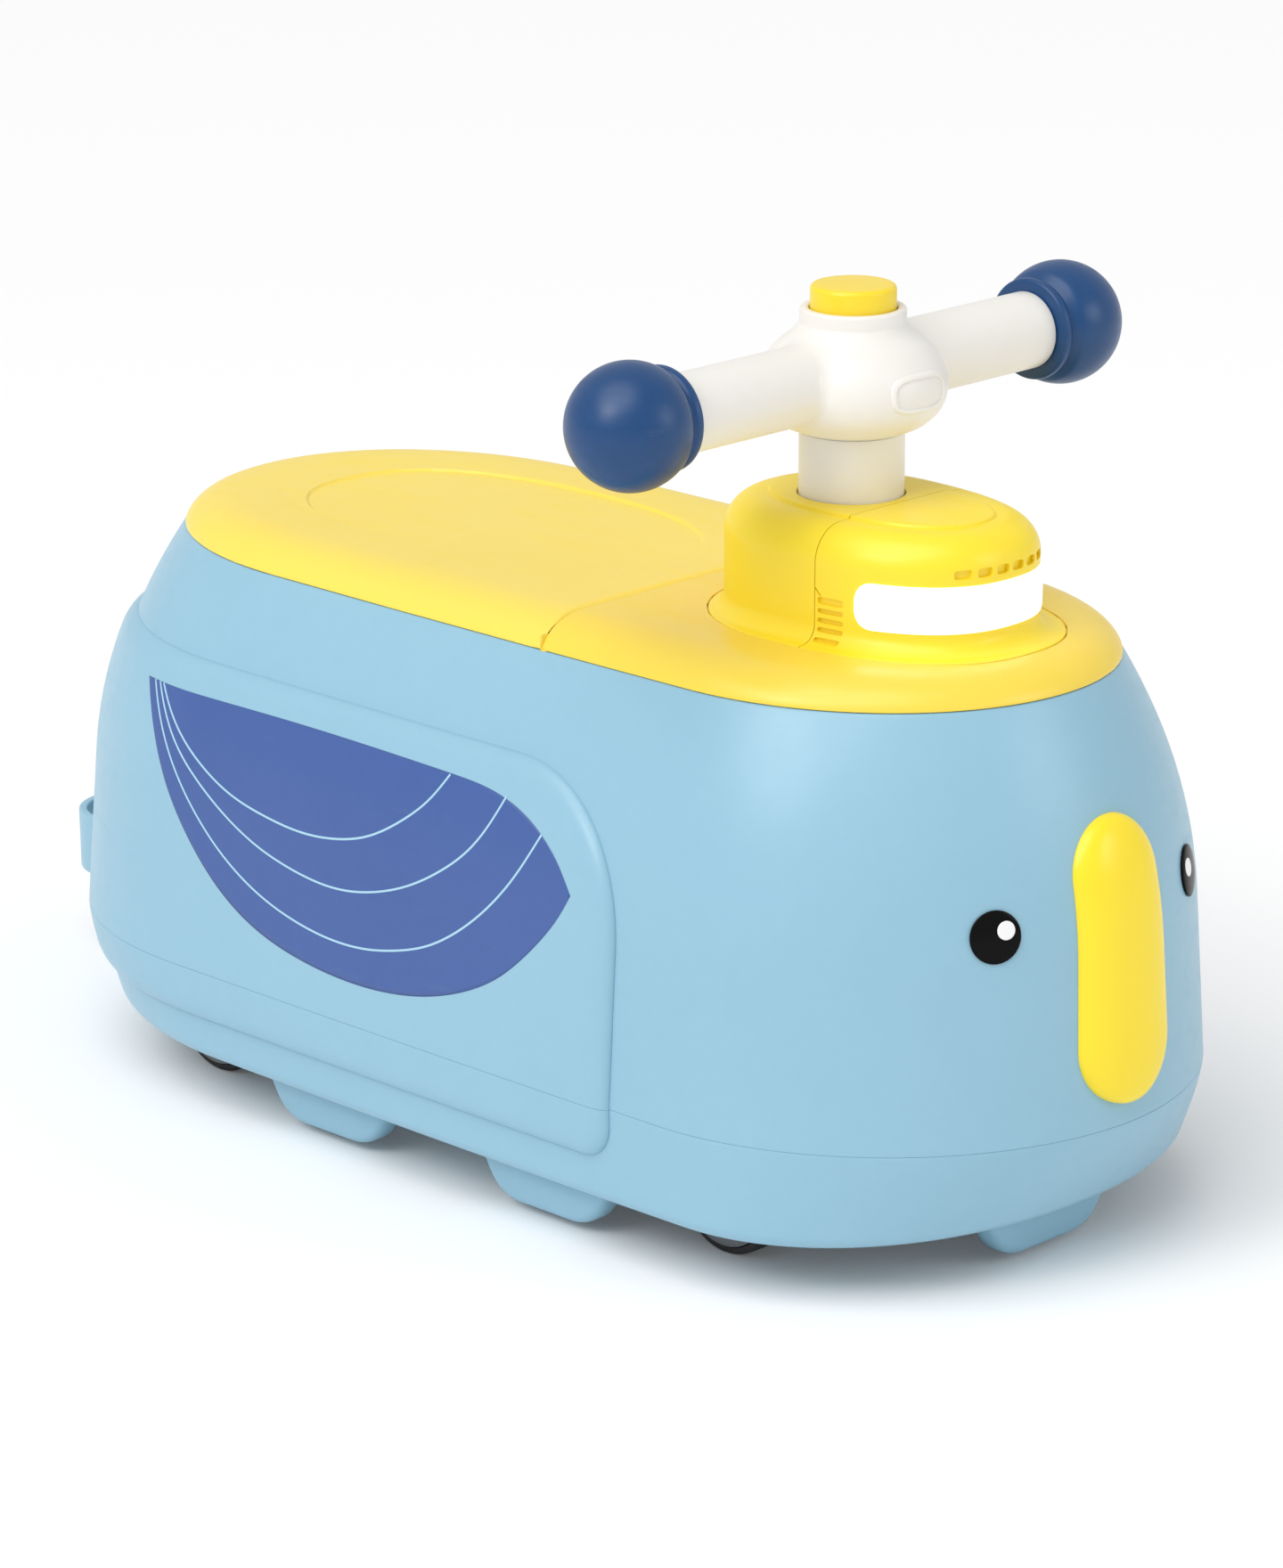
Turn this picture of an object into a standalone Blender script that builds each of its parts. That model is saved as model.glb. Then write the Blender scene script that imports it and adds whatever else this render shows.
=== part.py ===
"""Bird-shaped toddler ride-on with a lift-up seat over a storage bin and a steered front axle.

Sizes are in millimetres and become metres in finish(). x is to the side, y is measured backwards
from the steering axis and z is up from the floor. finish() moves the part by CENTRE_TO_STEERING,
so that the middle of its bounding box stands on the world origin.
"""

import math
from collections import namedtuple

import bmesh
import bpy
from mathutils import Matrix, Vector

MM = 0.001
CENTRE_TO_STEERING = 162.0

# Fits
GAP = 0.3
RUN = 0.25
FREE = 3.0

# Plan outlines of the body: half width, fall of the width, then end, shoulder and exponent at each end
Plan = namedtuple("Plan", "width fall front front_shoulder front_power rear rear_shoulder rear_power")
RIM = Plan(104.3, 0.52, -118.9, -5.3, 2.04, 371.1, 244.5, 2.08)
SEAM = Plan(138.5, 0.20, -156.7, -23.0, 1.96, 408.7, 269.3, 2.18)
BASE = Plan(137.3, 0.45, -132.6, -31.4, 2.14, 402.5, 252.2, 2.06)
BASE_Z = 25.0
SEAM_Z = 68.2
RIM_Z = 242.9
BASE_ROUND = 6.0
WALL = 3.0
SHELL_SHARES = (0.18, 0.42, 0.61, 0.785, 0.915)
SHELL_LEVELS = [SEAM_Z + share * (RIM_Z - SEAM_Z) for share in SHELL_SHARES]
BASE_LEVELS = (BASE_Z + BASE_ROUND, (BASE_Z + SEAM_Z) / 2 + 1.5, SEAM_Z)
ARC_STEPS = 8
SIDE_STEPS = 3

# Raised side panels, which run round the back
PANEL_PROUD = 4.0
PANEL_FRONT = 4.5
PANEL_BOTTOM = 45.0
PANEL_TOP = 203.5
PANEL_TOP_RADIUS = 66.0
PANEL_LOW_RADIUS = 15.0
PANEL_SPARE = 16.0

# Deck and seat
CAP_HEIGHT = 13.1
CAP_TOP = RIM_Z + CAP_HEIGHT
CAP_RISE = ((0.0, 0.0), (5.6, 3.6), (9.4, 8.7), (11.6, 16.6), (12.8, 30.0))
CAP_SKIN = 3.2
SPLIT_Y = 77.0
RECESS_DEPTH = 1.5
RECESS_WIDTH = 60.0
RECESS_FRONT = 105.0
RECESS_REAR = 310.0
HINGE_R = 5.0
PIN_R = 1.2
EYE_R = 3.1
HINGE_X = 56.0
HINGE_LUG = 7.0
PIN_HOLD = 8.0

# Storage bin
BIN_DEPTH = 118.0
BIN_WALL = 2.2
BIN_INSET = 13.5
BIN_TAPER = 7.0
BIN_FRONT = 94.0
BIN_LIP = 2.0
BIN_LIP_INSET = 7.0

# Lamp housing
HOUSING_MID = -6.7
HOUSING_LIFT = 0.1
HOUSING_BASE = CAP_TOP + HOUSING_LIFT
FLANGE = (60.9, 64.8, 92.8)
HOUSING = (51.5, 60.7, 81.4)
PLATEAU = (31.0, 43.7, 64.3)
HOUSING_HEIGHT = 48.4
HOUSING_TOP = HOUSING_BASE + HOUSING_HEIGHT
HOUSING_ROUND = 15.0
PLATEAU_RISE = 1.3
HOUSING_WALL = 2.5
HOUSING_SPLIT = -26.8
FLANGE_DEPTH = 2.5
FLANGE_LEDGE = 8.0
LENS_LIFT = 9.2
LENS_HEIGHT = 19.8
LENS_LOW = HOUSING_BASE + LENS_LIFT
LENS_HIGH = LENS_LOW + LENS_HEIGHT
LENS_HALF = 47.6
LENS_PROUD = 1.0
LENS_THICK = 2.2
VENT_RISE = 4.0
VENT_Z = LENS_HIGH + VENT_RISE
VENT_X = (4.6, 13.8, 23.0)
VENT_SIZE = (6.0, 3.4)
BOARD_HALF = 22.0
BOARD_BACK = 9.0
BOARD_THICK = 1.6
RIB_REACH = (2.0, 13.5)
RIB_DEPTH = 1.5
RIB_GROOVE = 2.0
RIB_PITCH = 3.9
RIB_FOOT = 2.6
RIB_COUNT = 5

# Steering
STEM_R = 22.0
SHAFT_R = 14.0
STEM_BORE = 9.0
STEM_FOOT = HOUSING_BASE + 5.9
BAR_RISE = 51.6
BAR_Z = HOUSING_TOP + BAR_RISE
BAR_R = 16.5
BAR_WALL = 3.0
HUB_PROFILE = ((23.5, -23.1), (31.0, -19.8), (37.0, -13.6), (39.5, -5.1), (38.0, 3.4), (32.5, 11.4),
               (25.5, 17.4), (22.1, 21.9), (22.1, 27.1), (21.3, 27.9))
HUB_ROOM = ((31.0, -10.1), (34.5, -5.1), (32.5, 1.4), (27.0, 4.9))
HUB_FOOT = BAR_Z + HUB_PROFILE[0][1]
HUB_TOP = BAR_Z + HUB_PROFILE[-1][1]
NECK_DEPTH = 8.0
NECK_STEP = 4.0
STEM_TOP = HUB_FOOT + 16.6
BADGE_OUTER = (16.0, 6.75)
BADGE_INNER = (13.6, 4.6)
BADGE_DROP = 1.5
BADGE_PROUD = 0.9
BUTTON_R = 17.9
BUTTON_STAND = 9.7
BUTTON_SKIRT = 12.0
BUTTON_TOP = HUB_TOP + BUTTON_STAND
BUTTON_FOOT = HUB_TOP - BUTTON_SKIRT
BUTTON_WALL = 2.2
BUTTON_LIP = 2.6
LIP_THICK = 2.0
BUTTON_CROWN = 3.5
BOARD_DROP = 8.0
BOARD_Z = BUTTON_FOOT - BOARD_DROP
BALL_R = 26.5
BALL_X = 130.6
GROOVE_R = 20.5
GROOVE_BACK = 14.5
COLLAR_R = 21.8
COLLAR_END = 20.8
PLUG_LENGTH = 26.0

# Running gear
WHEEL_R = 27.0
TYRE_FACE = 3.7
WHEEL_FACE = 97.0
WHEEL_WIDTH = 24.0
AXLE_R = 4.0
FRONT_AXLE_Y = -20.5
REAR_AXLE_Y = 295.5
WELL_R = 112.0
WELL_FRONT = -99.0
WELL_REAR = 68.0
WELL_TOP = 62.0
BOSS_TOP = 100.0
BOSS_WALL = 5.0
BUSH_WALL = 2.7
WASHER = 1.5
WHEEL_ROOM = 8.0
BRACKET_WALL = 5.0
BRACKET_THICK = 7.0
CARRIER_R = 23.0
SHAFT_SINK = 6.0
SHAFT_LIFT = 11.0

# Face
BEAK_LOW = 76.5
BEAK_HIGH = 198.3
BEAK_TOP_HALF = 22.0
BEAK_LOW_HALF = 26.0
BEAK_PROUD = 7.6
BEAK_EDGE = 1.2
PEG_R = 3.0
EYE_X = 60.2
EYE_Z = 157.5
EYE_DISC = 11.0
EYE_PROUD = 3.0

# Tow loop and feet
LOOP_R = 28.0
LOOP_WALL = 4.0
LOOP_Y = 459.0
LOOP_LOW = 38.6
LOOP_HIGH = 67.6
FOOT_LOW = 3.8
FOOT_HALF_TOP = 39.0
FOOT_HALF_LOW = 19.5
FOOT_OUTER = 124.0
FOOT_INNER = 110.0
FOOT_Y = (58.5, 193.0)
END_FOOT_DEPTH = 13.5
FRONT_FOOT_Y = -116.5
REAR_FOOT_Y = 387.0

# Battery box, between the wheel wells
CELL_R = 7.1
CELL_LENGTH = 50.0
CELL_Y = (133.0, 150.0, 167.0)
BOX_WALL = 2.0
BOX_EDGE = 6.0
SCREW_EDGE = 12.0
DOOR = 2.8

# Screws up from under the base
POST_X = 122.0
POST_Y = (105.0, 245.0)
POST_R = 6.5
SCREW_R = 1.6
SCREW_HEAD_R = 3.6
SCREW_HEAD = 1.6
SCREW_SINK = 18.0
POST_TALL = 34.0
POST_BORE = 28.0

YELLOW = (1.0, 0.80, 0.10)
SKY = (0.37, 0.64, 0.80)
NAVY = (0.02, 0.09, 0.22)
IVORY = (0.90, 0.88, 0.83)
GREY = (0.45, 0.46, 0.48)
BLACK = (0.015, 0.015, 0.017)
STEEL = (0.55, 0.56, 0.58)
GREEN = (0.03, 0.22, 0.09)
LIGHT = (0.95, 0.97, 1.0)

for old in list(bpy.data.objects):
    bpy.data.objects.remove(old, do_unlink=True)

parts = bpy.data.collections.new("toddler_ride_on")
cutters = bpy.data.collections.new("cutters")
bpy.context.scene.collection.children.link(parts)
bpy.context.scene.collection.children.link(cutters)


def put(bm, name, collection, origin):
    """Moves the mesh so that origin is its object's origin, scales it to metres and links the object."""
    shift = Vector(origin)
    bmesh.ops.translate(bm, vec=-shift, verts=bm.verts)
    bmesh.ops.scale(bm, vec=(MM, MM, MM), verts=bm.verts)
    bmesh.ops.recalc_face_normals(bm, faces=bm.faces)
    mesh = bpy.data.meshes.new(name)
    bm.to_mesh(mesh)
    bm.free()
    obj = bpy.data.objects.new(name, mesh)
    obj.location = (shift + Vector((0, -CENTRE_TO_STEERING, 0))) * MM
    collection.objects.link(obj)
    return obj


def finish(bm, name, colour, origin=(0, 0, 0), roughness=0.4, metallic=0.0):
    """Makes one node with a material of its own."""
    obj = put(bm, name, parts, origin)
    material = bpy.data.materials.new(name)
    material.use_nodes = True
    shader = material.node_tree.nodes["Principled BSDF"]
    shader.inputs["Base Color"].default_value = (*colour, 1.0)
    shader.inputs["Roughness"].default_value = roughness
    shader.inputs["Metallic"].default_value = metallic
    obj.data.materials.append(material)
    return obj


def tool(bm, name):
    """Makes a body that only cuts or joins others."""
    obj = put(bm, name, cutters, (0, 0, 0))
    obj.hide_render = True
    obj.display_type = "WIRE"
    return obj


def combine(obj, operation, other):
    modifier = obj.modifiers.new(other.name, "BOOLEAN")
    modifier.operation = operation
    modifier.solver = "EXACT"
    modifier.object = other
    return obj


def cut(obj, bm):
    return combine(obj, "DIFFERENCE", tool(bm, f"{obj.name}_cut_{len(obj.modifiers)}"))


def join(obj, bm):
    return combine(obj, "UNION", tool(bm, f"{obj.name}_add_{len(obj.modifiers)}"))


def keep(obj, bm):
    return combine(obj, "INTERSECT", tool(bm, f"{obj.name}_keep_{len(obj.modifiers)}"))


def loft(bm, rings):
    """Joins closed rings that have the same number of points, and caps both ends."""
    rows = [[bm.verts.new(point) for point in ring] for ring in rings]
    count = len(rows[0])
    for low, high in zip(rows, rows[1:]):
        for i in range(count):
            j = (i + 1) % count
            bm.faces.new((low[i], low[j], high[j], high[i]))
    bm.faces.new(rows[0][::-1])
    bm.faces.new(rows[-1])
    return bm


def box(bm, x, y, z):
    """A box between two values on each axis."""
    size = (x[1] - x[0], y[1] - y[0], z[1] - z[0])
    middle = Vector(((x[0] + x[1]) / 2, (y[0] + y[1]) / 2, (z[0] + z[1]) / 2))
    bmesh.ops.create_cube(bm, size=1.0, matrix=Matrix.Translation(middle) @ Matrix.Diagonal((*size, 1.0)))
    return bm


def rod(bm, start, end, radius, sides=20, end_radius=None):
    """A cylinder or cone between two points."""
    start = Vector(start)
    line = Vector(end) - start
    turn = Vector((0, 0, 1)).rotation_difference(line).to_matrix().to_4x4()
    place = Matrix.Translation(start + line / 2) @ turn
    bmesh.ops.create_cone(bm, cap_ends=True, segments=sides, radius1=radius,
                          radius2=radius if end_radius is None else end_radius,
                          depth=line.length, matrix=place)
    return bm


def turned(bm, profile, start, direction, sides=24):
    """Spins a closed profile of (radius, distance) points round a line."""
    piece = bmesh.new()
    corners = [piece.verts.new((r, 0, along)) for r, along in profile]
    for a, b in zip(corners, corners[1:] + corners[:1]):
        if a.co.x > 0 or b.co.x > 0:
            piece.edges.new((a, b))
    bmesh.ops.spin(piece, geom=piece.verts[:] + piece.edges[:], cent=(0, 0, 0), axis=(0, 0, 1),
                   angle=math.tau, steps=sides, use_merge=True)
    bmesh.ops.remove_doubles(piece, verts=piece.verts, dist=1e-3)
    turn = Vector((0, 0, 1)).rotation_difference(Vector(direction)).to_matrix().to_4x4()
    bmesh.ops.transform(piece, matrix=Matrix.Translation(Vector(start)) @ turn, verts=piece.verts)
    holder = bpy.data.meshes.new("holder")
    piece.to_mesh(holder)
    piece.free()
    bm.from_mesh(holder)
    bpy.data.meshes.remove(holder)
    return bm


def prism(bm, points, axis, low, high):
    """Extrudes a flat outline along x, y or z. Its two values are the other two axes in order."""
    def place(pair, level):
        point = list(pair)
        point.insert("xyz".index(axis), level)
        return point
    return loft(bm, [[place(pair, low) for pair in points], [place(pair, high) for pair in points]])


def corner(centre, radius, start, end, steps=5):
    """Points of an arc, in degrees."""
    angles = [math.radians(start + (end - start) * i / steps) for i in range(steps + 1)]
    return [(centre[0] + radius * math.cos(a), centre[1] + radius * math.sin(a)) for a in angles]


def half_outline(plan, grow=0.0):
    """One side of a plan outline, from the middle of its front to the middle of its back."""
    steps = [math.pi / 2 * i / ARC_STEPS for i in range(ARC_STEPS + 1)]
    middle = (plan.front_shoulder + plan.rear_shoulder) / 2
    pairs = [(math.sin(a) ** (2 / plan.front_power),
              plan.front_shoulder - (plan.front_shoulder - plan.front + grow)
              * math.cos(a) ** (2 / plan.front_power)) for a in steps]
    length = plan.rear_shoulder - plan.front_shoulder
    pairs += [(1.0, plan.front_shoulder + length * i / SIDE_STEPS) for i in range(1, SIDE_STEPS)]
    pairs += [(max(math.cos(a), 0.0) ** (2 / plan.rear_power),
               plan.rear_shoulder + (plan.rear - plan.rear_shoulder + grow)
               * math.sin(a) ** (2 / plan.rear_power)) for a in steps]
    width = plan.width + grow
    return [(width * x * (1 - plan.fall * ((y - middle) * MM) ** 2), y) for x, y in pairs]


def mirrored(half, z):
    """The whole ring of a half outline, at a height."""
    half = [(0.0, half[0][1])] + half[1:-1] + [(0.0, half[-1][1])]
    return [(x, y, z) for x, y in half] + [(-x, y, z) for x, y in half[-2:0:-1]]


def side_share(z):
    """How far the side has moved from one plan towards the next at this height."""
    if z >= SEAM_Z:
        down = (RIM_Z - z) / (RIM_Z - SEAM_Z)
        return 0.29 * down + 0.71 * (1 - (1 - min(down / 0.59, 1.0)) ** 2.05)
    return ((SEAM_Z - z) / (SEAM_Z - BASE_Z)) ** 1.3


def body_half(z, grow=0.0):
    """Half outline of the body at a height."""
    first, second = (RIM, SEAM) if z >= SEAM_Z else (SEAM, BASE)
    share = min(max(side_share(z), 0.0), 1.0)
    pairs = zip(half_outline(first, grow), half_outline(second, grow))
    return [(a[0] + (b[0] - a[0]) * share, a[1] + (b[1] - a[1]) * share) for a, b in pairs]


def body_ring(z, grow=0.0, at=None):
    """The whole ring of the body. With at, it lies at another height."""
    return mirrored(body_half(z, grow), z if at is None else at)


def width_at(half, y):
    """Half width of a half outline at y."""
    for (x0, y0), (x1, y1) in zip(half, half[1:]):
        if y0 <= y <= y1:
            return x0 + (x1 - x0) * (y - y0) / (y1 - y0)
    return 0.0


def face_y(x, z):
    """Where the front of the body lies at x and z."""
    half = body_half(z)
    for (x0, y0), (x1, y1) in zip(half, half[1:]):
        if x0 <= abs(x) <= x1:
            return y0 + (y1 - y0) * (abs(x) - x0) / (x1 - x0)
    return half[0][1]


def clipped(half, y, z):
    """The part of an outline behind y, as a ring."""
    kept = [(width_at(half, y), y)] + [pair for pair in half if pair[1] > y]
    kept[-1] = (0.0, kept[-1][1])
    return [(x, v, z) for x, v in kept] + [(-x, v, z) for x, v in kept[-2::-1]]


def oval(sizes, z, grow=0.0, sides=28, rear_power=2.1, front_power=2.4):
    """Ring of the lamp housing: half width, length behind and length before its middle."""
    half, behind, before = sizes[0] + grow, sizes[1] + grow, sizes[2] + grow
    ring = []
    for i in range(sides):
        angle = math.tau * i / sides
        c, s = math.cos(angle), math.sin(angle)
        power = 2 / (rear_power if s > 0 else front_power)
        x = math.copysign(abs(c) ** power, c) * half
        y = math.copysign(abs(s) ** power, s) * (behind if s > 0 else before)
        ring.append((x, HOUSING_MID + y, z))
    return ring


def wall_y(x, grow=0.0, front_power=2.4):
    """Front of the housing's wall at x."""
    share = min(abs(x) / (HOUSING[0] + grow), 1.0)
    return HOUSING_MID - (HOUSING[2] + grow) * (1 - share ** front_power) ** (1 / front_power)


def wall_x(y, front_power=2.4):
    """Half width of the housing's wall at y, in front of its middle."""
    return HOUSING[0] * (1 - ((HOUSING_MID - y) / HOUSING[2]) ** front_power) ** (1 / front_power)


def back_y(x, z):
    """Where the back of the body lies at x and z."""
    half = body_half(z)[::-1]
    for (x0, y0), (x1, y1) in zip(half, half[1:]):
        if x0 <= abs(x) <= x1:
            return y0 + (y1 - y0) * (abs(x) - x0) / (x1 - x0)
    return half[0][1]


def panel(low, high):
    """The body grown outwards between two heights, kept to the panel's outline seen from the side."""
    levels = [low, *[z for z in SHELL_LEVELS if low < z < high], high]
    rings = [body_ring(z, PANEL_PROUD) for z in levels]
    if low < SEAM_Z < high:
        rings = [body_ring(SEAM_Z, PANEL_PROUD, low)] + rings[1:]
    raised = tool(loft(bmesh.new(), rings), f"panel_{int(low)}")
    reach = SEAM.rear + 60
    top = (PANEL_FRONT + PANEL_TOP_RADIUS, PANEL_TOP - PANEL_TOP_RADIUS)
    foot = (PANEL_FRONT + PANEL_LOW_RADIUS, PANEL_BOTTOM + PANEL_LOW_RADIUS)
    outline = [(reach, PANEL_BOTTOM), (reach, PANEL_TOP), *corner(top, PANEL_TOP_RADIUS, 90, 180, 8),
               *corner(foot, PANEL_LOW_RADIUS, 180, 270, 3)]
    return keep(raised, prism(bmesh.new(), outline, "x", -200, 200))


def post(bm, x, y, low, high):
    return rod(bm, (x, y, low), (x, y, high), POST_R, 8)


POSTS = [(side * POST_X, y) for side in (-1, 1) for y in POST_Y]


def face_normal(x, z):
    """Outward normal of the front of the body."""
    step = 4.0
    across = (face_y(x + step, z) - face_y(x - step, z)) / (2 * step)
    up = (face_y(x, z + step) - face_y(x, z - step)) / (2 * step)
    return Vector((across, -1.0, up)).normalized()


EYES = {side: (Vector((side * EYE_X, face_y(EYE_X, EYE_Z), EYE_Z)), face_normal(side * EYE_X, EYE_Z))
        for side in (-1, 1)}
BEAK_PEGS = (112.0, 165.0)


def upper_shell():
    low = SEAM_Z + GAP / 2
    levels = (*SHELL_LEVELS, RIM_Z)
    rings = [body_ring(SEAM_Z, 0, SEAM_Z - 6), body_ring(SEAM_Z), *[body_ring(z) for z in levels]]
    shell = finish(loft(bmesh.new(), rings), "upper_shell", SKY)
    combine(shell, "UNION", panel(SEAM_Z - PANEL_PROUD, PANEL_TOP + PANEL_SPARE))
    inner = [body_ring(z, -WALL) for z in levels[:-1]]
    inner = [body_ring(SEAM_Z, -WALL, SEAM_Z - 9), body_ring(SEAM_Z, -WALL), *inner]
    inner += [body_ring(RIM_Z - WALL, -WALL)]
    cut(shell, loft(bmesh.new(), inner))
    cut(shell, box(bmesh.new(), (-300, 300), (-300, 600), (0, low)))
    hole = clipped(half_outline(RIM, -BIN_INSET + GAP), BIN_FRONT - GAP, 0)
    hole = [(x, y) for x, y, _ in hole]
    tools = prism(bmesh.new(), hole, "z", RIM_Z - WALL - 5, RIM_Z + 5)
    rod(tools, (0, 0, RIM_Z - 20), (0, 0, RIM_Z + 20), STEM_R + 10, 24)
    for z in BEAK_PEGS:
        y = face_y(0, z)
        rod(tools, (0, y - 12, z), (0, y + 14, z), PEG_R + GAP, 8)
    for side, (place, normal) in EYES.items():
        rod(tools, place + normal * 10, place - normal * 14, PEG_R + GAP, 8)
    cut(shell, tools)
    posts = bmesh.new()
    for x, y in POSTS:
        post(posts, x, y, low + GAP / 2, low + POST_TALL)
    join(shell, posts)
    ribs = bmesh.new()
    for x, y in POSTS:
        reach = width_at(body_half(low + POST_TALL), y) - WALL / 3
        box(ribs, sorted((x, math.copysign(reach, x))), (y - WALL / 2, y + WALL / 2),
            (low + GAP, low + POST_TALL - 2))
    join(shell, ribs)
    pilots = bmesh.new()
    for x, y in POSTS:
        rod(pilots, (x, y, low - 5), (x, y, low + POST_BORE), SCREW_R + GAP, 8)
    cut(shell, pilots)
    return shell


def well(grow, low, high):
    """Room for the front wheels at full lock."""
    radius = WELL_R + grow
    front = WELL_FRONT - grow
    rear = WELL_REAR + grow
    lead = math.degrees(math.asin(front / radius))
    trail = math.degrees(math.asin(rear / radius))
    right = corner((0, 0), radius, lead, trail, 9)
    left = [(-x, y) for x, y in right[::-1]]
    return prism(bmesh.new(), right + left, "z", low, high)


def door_size(grow):
    """Width and length of the battery door, or of the hole around it."""
    half = CELL_LENGTH / 2 + BOX_EDGE + grow
    return (-half, half), (CELL_Y[0] - CELL_R - BOX_EDGE - grow, CELL_Y[-1] + CELL_R + SCREW_EDGE + grow)


def rear_well(grow):
    """Half width, front, back and height of the room for the rear wheels."""
    half = WHEEL_FACE + 2 * FREE + grow
    reach = WHEEL_R + 2 * FREE + grow
    return (-half, half), (REAR_AXLE_Y - reach, REAR_AXLE_Y + reach)


def lower_base():
    high = SEAM_Z - GAP / 2
    levels = BASE_LEVELS
    rings = [body_ring(BASE_Z, -BASE_ROUND), body_ring(BASE_Z + 1.8, -BASE_ROUND * 0.35)]
    rings += [*[body_ring(z) for z in levels], body_ring(SEAM_Z, 0, SEAM_Z + 6)]
    base = finish(loft(bmesh.new(), rings), "lower_base", SKY)
    combine(base, "UNION", panel(PANEL_BOTTOM - 9, SEAM_Z + PANEL_PROUD))
    inner = [body_ring(BASE_Z + WALL, -BASE_ROUND - WALL), *[body_ring(z, -WALL) for z in levels]]
    inner += [body_ring(SEAM_Z, -WALL, SEAM_Z + 9)]
    cut(base, loft(bmesh.new(), inner))
    cut(base, box(bmesh.new(), (-300, 300), (-300, 600), (high, high + 50)))
    join(base, well(WALL, BASE_Z + 0.5, WELL_TOP + WALL))
    rear_x, rear_y = rear_well(WALL)
    join(base, box(bmesh.new(), rear_x, rear_y, (BASE_Z + 0.5, WELL_TOP + WALL)))
    bush_bore = SHAFT_R + RUN + BUSH_WALL + GAP
    stack = rod(bmesh.new(), (0, 0, WELL_TOP + 1), (0, 0, BOSS_TOP), bush_bore + BOSS_WALL, 20)
    for x, y in POSTS:
        post(stack, x, y, BASE_Z + 0.5, high - GAP / 2)
    join(base, stack)
    cut(base, well(0, BASE_Z - 5, WELL_TOP))
    rear_x, rear_y = rear_well(0)
    cut(base, box(bmesh.new(), rear_x, rear_y, (BASE_Z - 5, WELL_TOP)))
    brackets = bmesh.new()
    bracket = AXLE_R + BRACKET_WALL
    for side in (-1, 1):
        inside = WHEEL_FACE - WHEEL_WIDTH - WHEEL_ROOM
        box(brackets, sorted((side * inside, side * (inside - BRACKET_THICK))),
            (REAR_AXLE_Y - bracket - 4, REAR_AXLE_Y + bracket + 4), (WHEEL_R - bracket, WELL_TOP + 1))
    join(base, brackets)
    holes = bmesh.new()
    rod(holes, (0, 0, WELL_TOP - 10), (0, 0, BOSS_TOP + 10), bush_bore, 20)
    axle_room = WHEEL_FACE - WHEEL_WIDTH
    rod(holes, (-axle_room, REAR_AXLE_Y, WHEEL_R), (axle_room, REAR_AXLE_Y, WHEEL_R), AXLE_R + GAP, 12)
    for x, y in POSTS:
        rod(holes, (x, y, BASE_Z - 5), (x, y, BASE_Z + SCREW_SINK), SCREW_HEAD_R + 2 * GAP, 8)
    door_x, door_y = door_size(GAP)
    box(holes, door_x, door_y, (BASE_Z - 2, BASE_Z + WALL + 2))
    for y in FOOT_Y:
        for side in (-1, 1):
            x = side * (FOOT_OUTER + FOOT_INNER) / 2
            rod(holes, (x, y, BASE_Z - 5), (x, y, BASE_Z + WALL + 3), PEG_R + GAP, 8)
    for y in (FRONT_FOOT_Y + END_FOOT_DEPTH / 2, REAR_FOOT_Y - END_FOOT_DEPTH / 2):
        rod(holes, (0, y, BASE_Z - 5), (0, y, BASE_Z + WALL + 3), PEG_R + GAP, 8)
    for side in (-1, 1):
        box(holes, sorted((side * (LOOP_R - LOOP_WALL - GAP), side * (LOOP_R + GAP))),
            (SEAM.rear - 30, SEAM.rear + 20), (LOOP_LOW - GAP, SEAM_Z + 10))
    cut(base, holes)
    shanks = bmesh.new()
    for x, y in POSTS:
        rod(shanks, (x, y, BASE_Z + 10), (x, y, high + 5), SCREW_R + GAP, 8)
    cut(base, shanks)
    return base


def cap_rings(grow, top, low):
    """Rings of the yellow cap, which leans in from the rim to its flat top."""
    rings = [mirrored(half_outline(RIM, grow), low)]
    for rise, inset in CAP_RISE[1:]:
        height = RIM_Z + GAP + rise * (top - RIM_Z - GAP) / CAP_RISE[-1][0]
        rings.append(mirrored(half_outline(RIM, grow - inset), height))
    return rings


def cap(name):
    obj = finish(loft(bmesh.new(), cap_rings(0, CAP_TOP, RIM_Z + GAP)), name, YELLOW)
    return obj


def cap_inside(front, rear, top=CAP_TOP):
    """The hollow under a cap between two planes and below a height. Its foot clears the lip of the bin."""
    foot = half_outline(RIM, GAP + 1.5 - BIN_LIP_INSET)
    rings = [mirrored(foot, RIM_Z - 5), mirrored(foot, RIM_Z + BIN_LIP + 2 * GAP)]
    rings += cap_rings(-CAP_SKIN, CAP_TOP - CAP_SKIN - 0.5, 0)[1:]
    hollow = tool(loft(bmesh.new(), rings), f"hollow_{int(rear)}")
    return keep(hollow, box(bmesh.new(), (-200, 200), (front, rear), (RIM_Z - 10, top)))


def front_deck():
    deck = cap("front_deck")
    rear = SPLIT_Y - GAP / 2
    keep(deck, box(bmesh.new(), (-200, 200), (-200, rear), (0, 400)))
    combine(deck, "DIFFERENCE", cap_inside(-200, rear - WALL))
    seat = HOUSING_BASE - FLANGE_DEPTH - GAP
    join(deck, loft(bmesh.new(), [oval(FLANGE, seat - 4, 3), oval(FLANGE, seat + 0.5, 3)]))
    cut(deck, loft(bmesh.new(), [oval(FLANGE, seat, 2 * GAP), oval(FLANGE, CAP_TOP + 5, 2 * GAP)]))
    through = [oval(FLANGE, seat - 10, -FLANGE_LEDGE), oval(FLANGE, seat + 5, -FLANGE_LEDGE)]
    cut(deck, loft(bmesh.new(), through))
    return deck


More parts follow.
